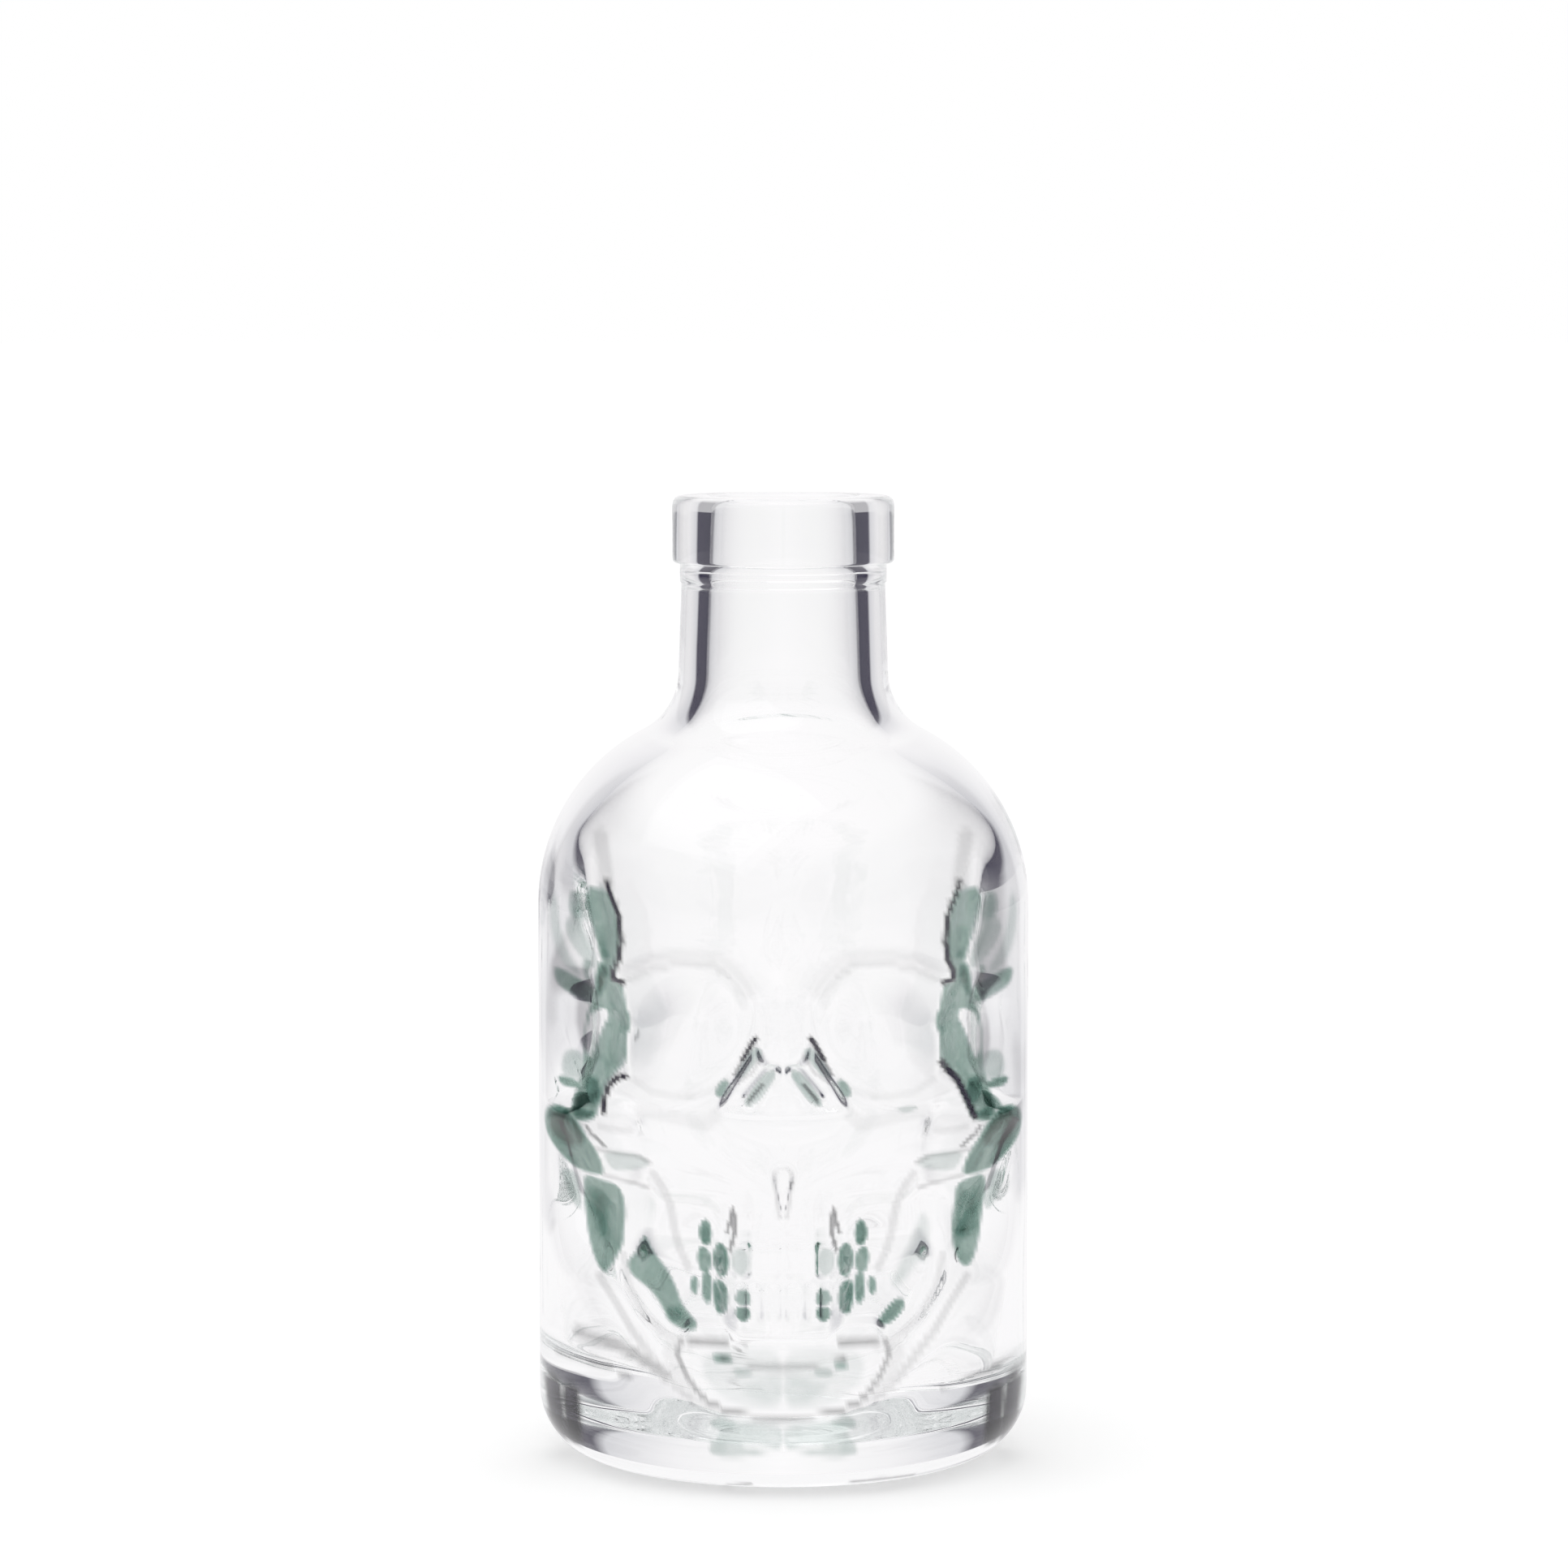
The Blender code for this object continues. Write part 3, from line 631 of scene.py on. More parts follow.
def rounded_ramp(distance: np.ndarray, rounding: float) -> np.ndarray:
    """Distance outside an outline, eased in over the rounding of the edge."""
    eased = np.clip(distance + rounding / 2, 0.0, rounding) ** 2 / (2 * rounding)
    return np.where(distance > rounding / 2, distance, eased)


@dataclass(frozen=True)
class Ground:
    """Places on the front, as distances across from the middle and heights, and the sums on them."""

    across: np.ndarray
    height: np.ndarray

    def distance_to_line(self, start: Point, end: Point) -> np.ndarray:
        """Works out how far each place is from a straight line.

        Args:
            start: One end of the line.
            end: Its other end.

        Returns:
            The distances.
        """
        run, rise = end[0] - start[0], end[1] - start[1]
        along = (self.across - start[0]) * run + (self.height - start[1]) * rise
        along = np.clip(along / (run**2 + rise**2), 0.0, 1.0)
        return np.hypot(self.across - start[0] - along * run, self.height - start[1] - along * rise)

    def distance_outside(self, outline: Sequence[Point]) -> np.ndarray:
        """Works out how far each place is outside a closed outline, whose corners are rounded first.

        Args:
            outline: The outline's corners.

        Returns:
            The distances, which are below zero inside.
        """
        points = list(outline)
        for _ in range(CUTTING_ROUNDS):
            sides = list(zip(points, points[1:] + points[:1]))
            points = [(blend(b[0], a[0], s), blend(b[1], a[1], s)) for a, b in sides for s in CORNER_CUTS]
        nearest = np.full(self.across.shape, np.inf)
        inside = np.zeros(self.across.shape, bool)
        for start, end in zip(points, points[1:] + points[:1]):
            nearest = np.minimum(nearest, self.distance_to_line(start, end))
            if start[1] != end[1]:
                spans = (start[1] > self.height) != (end[1] > self.height)
                crossing = start[0] + (end[0] - start[0]) * (self.height - start[1]) / (end[1] - start[1])
                inside ^= spans & (self.across < crossing)
        return np.where(inside, -nearest, nearest)

    def dent(self, place: Point, half_width: float, half_height: float) -> np.ndarray:
        """Makes a soft round dent.

        Args:
            place: Its middle.
            half_width: How far it reaches across.
            half_height: How far it reaches up and down.

        Returns:
            Its share at each place: 1 in its middle, fading outwards.
        """
        over = (self.across - place[0]) / half_width
        up = (self.height - place[1]) / half_height
        return np.exp(-(over**2) - up**2)


@dataclass(frozen=True)
class SkullRelief:
    """The skull on the front: its forms as outlines, depths and slopes.

    Places are shares of the body's radius across, and of the face's height above its foot.
    """

    line: BottleLine
    foot: float = 0.0115
    face_height: float = 0.0745
    recess_temple_depth: float = 0.0040
    recess_side_depth: float = 0.0068
    recess_branch_depth: float = 0.0100
    recess_side_ramp: float = 0.0060
    recess_branch_ramp: float = 0.0060
    recess_fillet: float = 0.0022
    recess_top_ramp: float = 0.0090
    recess_jaw_ramp: float = 0.0130
    groove_depth: float = 0.0006
    groove_reach: float = 0.0060
    recess_edge: float = 0.0225
    recess_edge_ramp: float = 0.0108
    cheek_top_depth: float = 0.0036
    cheek_foot_depth: float = 0.0115
    cheek_ramp: float = 0.0085
    cheek_edge: float = 0.0030
    skull_edge: float = 0.0010
    skull_steepness: float = 1.8
    maxilla_steepness: float = 1.5
    maxilla_turn: float = 0.0030
    face_inset: float = 0.0010
    face_inset_ramp: float = 0.0140
    arch_inset: float = 0.0002
    arch_edge: float = 0.0014
    arch_top_steepness: float = 1.9
    arch_under_steepness: float = 0.9
    arch_turn: float = 0.0030
    jaw_edge: float = 0.0014
    jaw_steepness: float = 1.5
    jaw_branch_inset: float = 0.0030
    jaw_body_inset: float = 0.0006
    chin_inset: float = 0.0002
    chin_slope: float = 0.0018
    jaw_inset_ramp: float = 0.0140
    fold_depth: float = 0.0022
    fold_half_width: float = 0.0018
    brow_depth: float = 0.0008
    brow_reach: float = 0.0026
    brow_slope: float = 0.0016
    socket_front: float = 0.0305
    socket_side_fall: float = 0.210
    socket_slope: float = 0.0075
    root_depth: float = 0.0013
    root_half_width: float = 0.0055
    root_half_height: float = 0.0035
    nose_depth: float = 0.0034
    nose_slope: float = 0.0019
    nose_sill_height: float = 0.0055
    nostril_depth: float = 0.0023
    nostril_half_width: float = 0.00135
    spine_height: float = 0.0018
    spine_half_width: float = 0.0019
    spine_foot_share: float = 0.2
    muzzle_front_half: float = 0.0055
    muzzle_side_width: float = 0.0070
    muzzle_fall: float = 0.0135
    muzzle_ramp: float = 0.0075
    gum_depth: float = 0.0009
    gum_ramp: float = 0.0045
    tooth_relief: float = 0.0006
    side_tooth_relief: float = 0.0018
    root_relief: float = 0.0006
    crown_roundness: float = 0.75
    crown_side_power: int = 3
    crown_end_power: int = 4
    skull_outline: Shares = (
        (-1.000, 1.188), (0.871, 1.188), (0.826, 1.054), (0.757, 0.987), (0.700, 0.919), (0.670, 0.875),
        (0.649, 0.834), (0.655, 0.793), (0.676, 0.757), (0.643, 0.745), (0.619, 0.698), (0.598, 0.672),
        (0.616, 0.656), (0.622, 0.607), (0.610, 0.584), (0.673, 0.566), (0.712, 0.540), (0.739, 0.510),
        (0.778, 0.477), (0.730, 0.444), (0.658, 0.428), (0.540, 0.421), (0.480, 0.383), (0.440, 0.336),
        (0.425, 0.299), (0.415, 0.235), (0.395, 0.179), (0.330, 0.146), (-1.000, 0.138),
    )
    arch_crest: float = 0.490
    arch_outline: Shares = (
        (0.571, 0.530), (0.721, 0.525), (0.853, 0.507), (1.036, 0.504), (1.036, 0.488), (0.871, 0.484),
        (0.802, 0.470), (0.721, 0.443), (0.640, 0.425), (0.571, 0.428),
    )
    jaw_outline: Shares = (
        (0.625, 0.463), (0.643, 0.383), (0.637, 0.334), (0.655, 0.267), (0.709, 0.224), (0.688, 0.179),
        (0.613, 0.126), (0.474, 0.072), (0.330, 0.038), (0.189, 0.014), (-1.000, 0.010), (-1.000, 0.128),
        (0.240, 0.128), (0.354, 0.137), (0.474, 0.173), (0.607, 0.256), (0.547, 0.313), (0.532, 0.369),
        (0.532, 0.463),
    )
    cheek_outline: Shares = (
        (-1.000, 0.463), (0.646, 0.463), (0.646, 0.248), (0.541, 0.168), (0.360, 0.114), (-1.000, 0.114),
    )
    socket_outline: Shares = (
        (0.780, 0.740), (0.601, 0.758), (0.511, 0.782), (0.411, 0.791), (0.261, 0.785), (0.174, 0.740),
        (0.141, 0.690), (0.192, 0.627), (0.330, 0.573), (0.480, 0.553), (0.600, 0.560), (0.780, 0.590),
    )
    chin_outline: Shares = (
        (-0.300, 0.119), (0.330, 0.121), (0.402, 0.126), (0.372, 0.092), (0.300, 0.052), (0.189, 0.012),
        (-0.300, 0.000),
    )
    fold_line: Shares = ((0.000, 0.137), (0.360, 0.142))
    nose_outline: Shares = (
        (-0.120, 0.616), (0.000, 0.616), (0.072, 0.631), (0.105, 0.667), (0.147, 0.640), (0.285, 0.544),
        (0.246, 0.517), (-0.120, 0.509),
    )
    nostril_line: Shares = ((0.036, 0.606), (0.136, 0.552))
    spine_line: Shares = ((0.000, 0.423), (0.000, 0.349))
    root_place: Point = (0.000, 0.738)
    nose_sill: float = 0.503
    recess_top: float = 1.010
    recess_side: float = 0.770
    recess_branch: float = 0.500
    recess_jaw: float = 0.195
    cheek_foot: float = 0.205
    face_inset_top: float = 0.812
    jaw_inset_foot: float = 0.060
    muzzle_top: float = 0.395
    gum_top: float = 0.372
    upper_teeth: tuple[float, ...] = (0.000, 0.120, 0.212, 0.276, 0.334, 0.385)
    upper_span: Point = (0.236, 0.309)
    lower_teeth: tuple[float, ...] = (0.000, 0.072, 0.138, 0.204, 0.279, 0.327, 0.369)
    lower_span: Point = (0.162, 0.231)

    def level(self, share: float) -> float:
        """Height of a level of the face."""
        return self.foot + share * self.face_height

    def points(self, shares: Sequence[Point]) -> list[Point]:
        """Places of the face in metres."""
        return [(across * self.line.body_radius, self.level(up)) for across, up in shares]

    def below(self, share: float, ramp: float, ground: Ground) -> np.ndarray:
        """Eases from 0 to 1 downwards from a level of the face."""
        return smooth_step((self.level(share) - ground.height) / ramp)

    def above(self, share: float, ramp: float, ground: Ground) -> np.ndarray:
        """Eases from 0 to 1 upwards from a level of the face."""
        return smooth_step((ground.height - self.level(share)) / ramp)

    def eye_sockets(self, ground: Ground) -> np.ndarray:
        """Works out the step along the brow and the eye sockets, whose floors are nearly flat.

        Args:
            ground: The places.

        Returns:
            Their depth.
        """
        distance = ground.distance_outside(self.points(self.socket_outline))
        brow = smooth_step((self.brow_reach - distance) / self.brow_slope)
        squares = np.clip(self.line.body_radius**2 - ground.across**2, 0.0, None)
        floor = self.socket_front - self.socket_side_fall * ground.across
        depth = np.clip(np.sqrt(squares) - floor, 0.0, None)
        return self.brow_depth * brow + depth * smooth_step(-distance / self.socket_slope)

    def nose(self, ground: Ground) -> np.ndarray:
        """Works out the root of the nose, its opening and two slots, and the spine below them.

        Args:
            ground: The places.

        Returns:
            Their depth, which is below zero on the spine.
        """
        root = ground.dent(self.points([self.root_place])[0], self.root_half_width, self.root_half_height)
        distance = ground.distance_outside(self.points(self.nose_outline))
        sill = self.above(self.nose_sill, self.nose_sill_height, ground)
        slot = ground.distance_to_line(*self.points(self.nostril_line))
        slot_share = smooth_step(1 - slot / self.nostril_half_width)
        spine_top, spine_foot = self.points(self.spine_line)
        spine = ground.distance_to_line(spine_top, spine_foot)
        taper = (ground.height - spine_foot[1]) / (spine_top[1] - spine_foot[1])
        taper = np.clip(taper, self.spine_foot_share, 1.0)
        spine_share = smooth_step(1 - spine / (self.spine_half_width * taper))
        opening = self.nose_depth * smooth_step(-distance / self.nose_slope) * sill
        slots = self.nostril_depth * slot_share
        return self.root_depth * root + opening + slots - self.spine_height * spine_share

    def over_teeth(self, edges: Sequence[float], ground: Ground) -> list[np.ndarray]:
        """How far over each tooth of a row the places lie: -1 and 1 at its edges."""
        across = 2 * ground.across / self.line.body_radius
        return [(across - left - right) / (right - left) for left, right in zip(edges, edges[1:])]

    def tooth_row(self, edges: Sequence[float], span: Point, ground: Ground) -> np.ndarray:
        """Works out one row of teeth.

        Args:
            edges: Where one tooth ends and the next begins, from the middle outwards.
            span: The row's foot and top.
            ground: The places.

        Returns:
            The share of the relief: 1 on a crown's face, 0 in the gaps.
        """
        low, high = self.level(span[0]), self.level(span[1])
        up = (2 * ground.height - low - high) / (high - low)
        row = np.zeros(ground.across.shape)
        for over in self.over_teeth(edges, ground):
            crown = 1 - np.abs(over) ** self.crown_side_power - np.abs(up) ** self.crown_end_power
            row = np.maximum(row, np.clip(crown, 0.0, 1.0) ** self.crown_roundness)
        return row

    def teeth(self, ground: Ground) -> np.ndarray:
        """Relief of both rows of teeth."""
        upper = self.tooth_row(self.upper_teeth, self.upper_span, ground)
        return np.maximum(upper, self.tooth_row(self.lower_teeth, self.lower_span, ground))

    def root_bulges(self, ground: Ground) -> np.ndarray:
        """Works out the roots above the upper teeth.

        Args:
            ground: The places.

        Returns:
            The share of their relief: 1 on a root, 0 between two.
        """
        gum_line, root_top = self.level(self.upper_span[1]), self.level(self.gum_top)
        fade = smooth_step((root_top - ground.height) / (root_top - gum_line)) * (ground.height > gum_line)
        row = np.zeros(ground.across.shape)
        for over in self.over_teeth(self.upper_teeth, ground):
            row = np.maximum(row, np.clip(1 - over**2, 0.0, 1.0))
        return row * fade

    def muzzle(self, ground: Ground) -> np.ndarray:
        """Works out the muzzle with its teeth.

        Args:
            ground: The places.

        Returns:
            How far it lies behind the plain bottle.
        """
        under_nose = self.below(self.muzzle_top, self.muzzle_ramp, ground)
        over = (ground.across - self.muzzle_front_half) / self.muzzle_side_width
        fall = self.muzzle_fall * smooth_step(over) * under_nose
        gum = self.below(self.gum_top, self.gum_ramp, ground)
        teeth = self.teeth(ground)
        bulges = self.root_relief * self.root_bulges(ground)
        relief = blend(self.tooth_relief, self.side_tooth_relief, smooth_step(over))
        return fall + self.gum_depth * gum - relief * teeth - bulges

    def raised(
        self, top: np.ndarray, outline: Shares, edge: float, steepness: Any, ground: Ground
    ) -> np.ndarray:
        """Front of a form that stands out: its top inside the outline, and its wall outside it."""
        distance = ground.distance_outside(self.points(outline))
        return top - steepness * rounded_ramp(distance, edge)

    def recess(self, plain: np.ndarray, ground: Ground) -> np.ndarray:
        """Works out the recess beside the skull and in its cheeks, which runs out to the plain bottle.

        Args:
            plain: Front of the plain bottle at each place.
            ground: The places.

        Returns:
            The recess's front.
        """
        top = self.below(self.recess_top, self.recess_top_ramp, ground)
        side = self.below(self.recess_side, self.recess_side_ramp, ground)
        jaw = self.above(self.recess_jaw, self.recess_jaw_ramp, ground)
        beside_jaw = ground.distance_outside(self.points(self.jaw_outline))
        groove = self.groove_depth * smooth_step(1 - beside_jaw / self.groove_reach)
        branch = self.below(self.recess_branch, self.recess_branch_ramp, ground)
        depth = blend(self.recess_temple_depth, self.recess_side_depth, side)
        depth = blend(groove, blend(depth, self.recess_branch_depth, branch), jaw)
        edge = smooth_step((self.recess_edge - ground.across) / self.recess_edge_ramp + 1.0)
        up_cheek = self.above(self.cheek_foot, self.cheek_ramp, ground)
        cheek = blend(self.cheek_foot_depth, self.cheek_top_depth, up_cheek)
        outside_cheek = ground.distance_outside(self.points(self.cheek_outline))
        in_cheek = smooth_step(0.5 - outside_cheek / self.cheek_edge)
        return plain - blend(depth * top * edge, cheek, in_cheek)

    def front(self, plain: np.ndarray, across: np.ndarray, height: np.ndarray) -> np.ndarray:
        """Front of the outside of the glass.

        Args:
            plain: Front of the plain bottle at each place.
            across: Distance of each place across from the middle.
            height: Height of each place.

        Returns:
            How far the glass stands forward of the plane where the halves of the mould meet.
        """
        ground = Ground(np.abs(across), height)
        let_in = self.eye_sockets(ground) + self.nose(ground) + self.muzzle(ground)
        let_in += self.face_inset * self.below(self.face_inset_top, self.face_inset_ramp, ground)
        over_crest = height - self.level(self.arch_crest)
        over_maxilla = smooth_step(over_crest / self.maxilla_turn + 1.0)
        steepness = blend(self.maxilla_steepness, self.skull_steepness, over_maxilla)
        skull = self.raised(plain - let_in, self.skull_outline, self.skull_edge, steepness, ground)
        over_arch = smooth_step(over_crest / self.arch_turn + 0.5)
        steepness = blend(self.arch_under_steepness, self.arch_top_steepness, over_arch)
        arch = self.raised(plain - self.arch_inset, self.arch_outline, self.arch_edge, steepness, ground)
        branch = self.above(self.jaw_inset_foot, self.jaw_inset_ramp, ground)
        chin = smooth_step(-ground.distance_outside(self.points(self.chin_outline)) / self.chin_slope)
        inset = blend(blend(self.jaw_body_inset, self.jaw_branch_inset, branch), self.chin_inset, chin)
        fold = ground.distance_to_line(*self.points(self.fold_line))
        inset += self.fold_depth * smooth_step(1 - fold / self.fold_half_width)
        jaw = self.raised(plain - inset, self.jaw_outline, self.jaw_edge, self.jaw_steepness, ground)
        front = smooth_max(skull, arch, self.arch_edge)
        front = smooth_max(front, jaw, self.jaw_edge)
        front = smooth_max(front, self.recess(plain, ground), self.recess_fillet)
        return np.minimum(front, plain)


@dataclass
class BlownInside:
    """The inside of the front: the skull's form, worn round by the wall's thickness and melted.

    It stays ahead of a share of the plain inside, so that beside the face it runs out without a fold.
    """

    line: BottleLine
    relief: SkullRelief
    pitch: float = 0.0006
    corner: float = 0.0030
    melt: float = 0.0045
    least_wall: float = 0.0015
    evening: float = 0.0014
    side_share: float = 0.35
    side_blend: float = 0.0020
    patch_reach: int = 3
    last_cell: float = 1.001
    across_lines: np.ndarray = field(init=False)
    height_lines: np.ndarray = field(init=False)
    setback: np.ndarray = field(init=False)

    def __post_init__(self) -> None:
        """Works out how far the inside is pushed back, on a grid."""
        radius, wall = self.line.body_radius, self.line.wall
        low = self.relief.foot - 2 * wall
        high = self.relief.foot + self.relief.face_height + 2 * wall
        self.across_lines = np.arange(-radius, radius + self.pitch, self.pitch)
        self.height_lines = np.arange(low, high, self.pitch)
        across, height = np.meshgrid(self.across_lines, self.height_lines, indexing="ij")
        squares = self.line.radius_at(height) ** 2 - across**2
        plain = np.where(squares > 0, np.sqrt(np.clip(squares, 0.0, None)), -self.line.radius_at(height))
        face = self.relief.front(plain, across, height)
        reach = self.line.wall + self.corner
        rounded = -self.worn(-self.worn(face, reach), self.corner)
        plain_inside = -self.worn(-self.worn(plain, reach), self.corner)
        melted = self.melted(rounded - plain_inside, self.melt) + plain_inside
        limit = self.worn(face, self.least_wall)
        setback = plain_inside + smooth_max(-melted, -limit, self.least_wall)
        self.setback = self.melted(setback, self.evening)

    def worn(self, front: np.ndarray, radius: float) -> np.ndarray:
        """Rolls a ball behind a front.

        Args:
            front: The front, on the grid.
            radius: The ball's radius.

        Returns:
            The furthest forward that the ball's middle reaches.
        """
        reach = int(radius / self.pitch)
        padded = np.pad(front, reach, mode="edge")
        rows, columns = front.shape
        worn = np.full(front.shape, np.inf)
        for i in range(2 * reach + 1):
            for j in range(2 * reach + 1):
                left = radius**2 - ((i - reach) ** 2 + (j - reach) ** 2) * self.pitch**2
                if left > 0:
                    worn = np.minimum(worn, padded[i : i + rows, j : j + columns] - math.sqrt(left))
        return worn

    def melted(self, values: np.ndarray, spread: float) -> np.ndarray:
        """Averages the values of the grid over a soft round patch.

        Args:
            values: The values.
            spread: How far the patch spreads.

        Returns:
            The averages, on the same grid.
        """
        reach = math.ceil(self.patch_reach * spread / self.pitch)
        weights = np.exp(-((np.arange(-reach, reach + 1) * self.pitch / spread) ** 2) / 2)
        weights /= weights.sum()
        padded = np.pad(values, reach, mode="edge")
        rows, columns = values.shape
        along = sum(w * padded[i : i + rows, :] for i, w in enumerate(weights))
        return sum(w * along[:, j : j + columns] for j, w in enumerate(weights))

    def front(self, plain: np.ndarray, across: np.ndarray, height: np.ndarray) -> np.ndarray:
        """Front of the inside of the glass.

        Args:
            plain: Front of the plain inside at each place.
            across: Distance of each place across from the middle.
            height: Height of each place.

        Returns:
            How far the inside stands forward.
        """
        i_end, j_end = (size - self.last_cell for size in self.setback.shape)
        i = np.clip((across - self.across_lines[0]) / self.pitch, 0.0, i_end)
        j = np.clip((height - self.height_lines[0]) / self.pitch, 0.0, j_end)
        i_low, j_low = i.astype(int), j.astype(int)
        i_part, j_part = i - i_low, j - j_low
        low = blend(self.setback[i_low, j_low], self.setback[i_low + 1, j_low], i_part)
        high = blend(self.setback[i_low, j_low + 1], self.setback[i_low + 1, j_low + 1], i_part)
        setback = blend(low, high, j_part)
        return np.minimum(plain, smooth_max(plain - setback, self.side_share * plain, self.side_blend))


class Side(Enum):
    """Which half of the face a mark is on."""

    LEFT = -1
    BOTH = 0
    RIGHT = 1


@dataclass(frozen=True)
class ShadePatch:
    """A patch of painted shade: its side, how deep its colour is, its soft edge and its outline."""

    side: Side
    depth: float
    edge: float
    outline: Thousandths


@dataclass(frozen=True)
class PaintedLine:
    """A dark line of painted shade at the edge of a form: its side, its depth, half its width, and its
    points.
    """

    side: Side
    depth: float
    half_width: float
    line: Thousandths


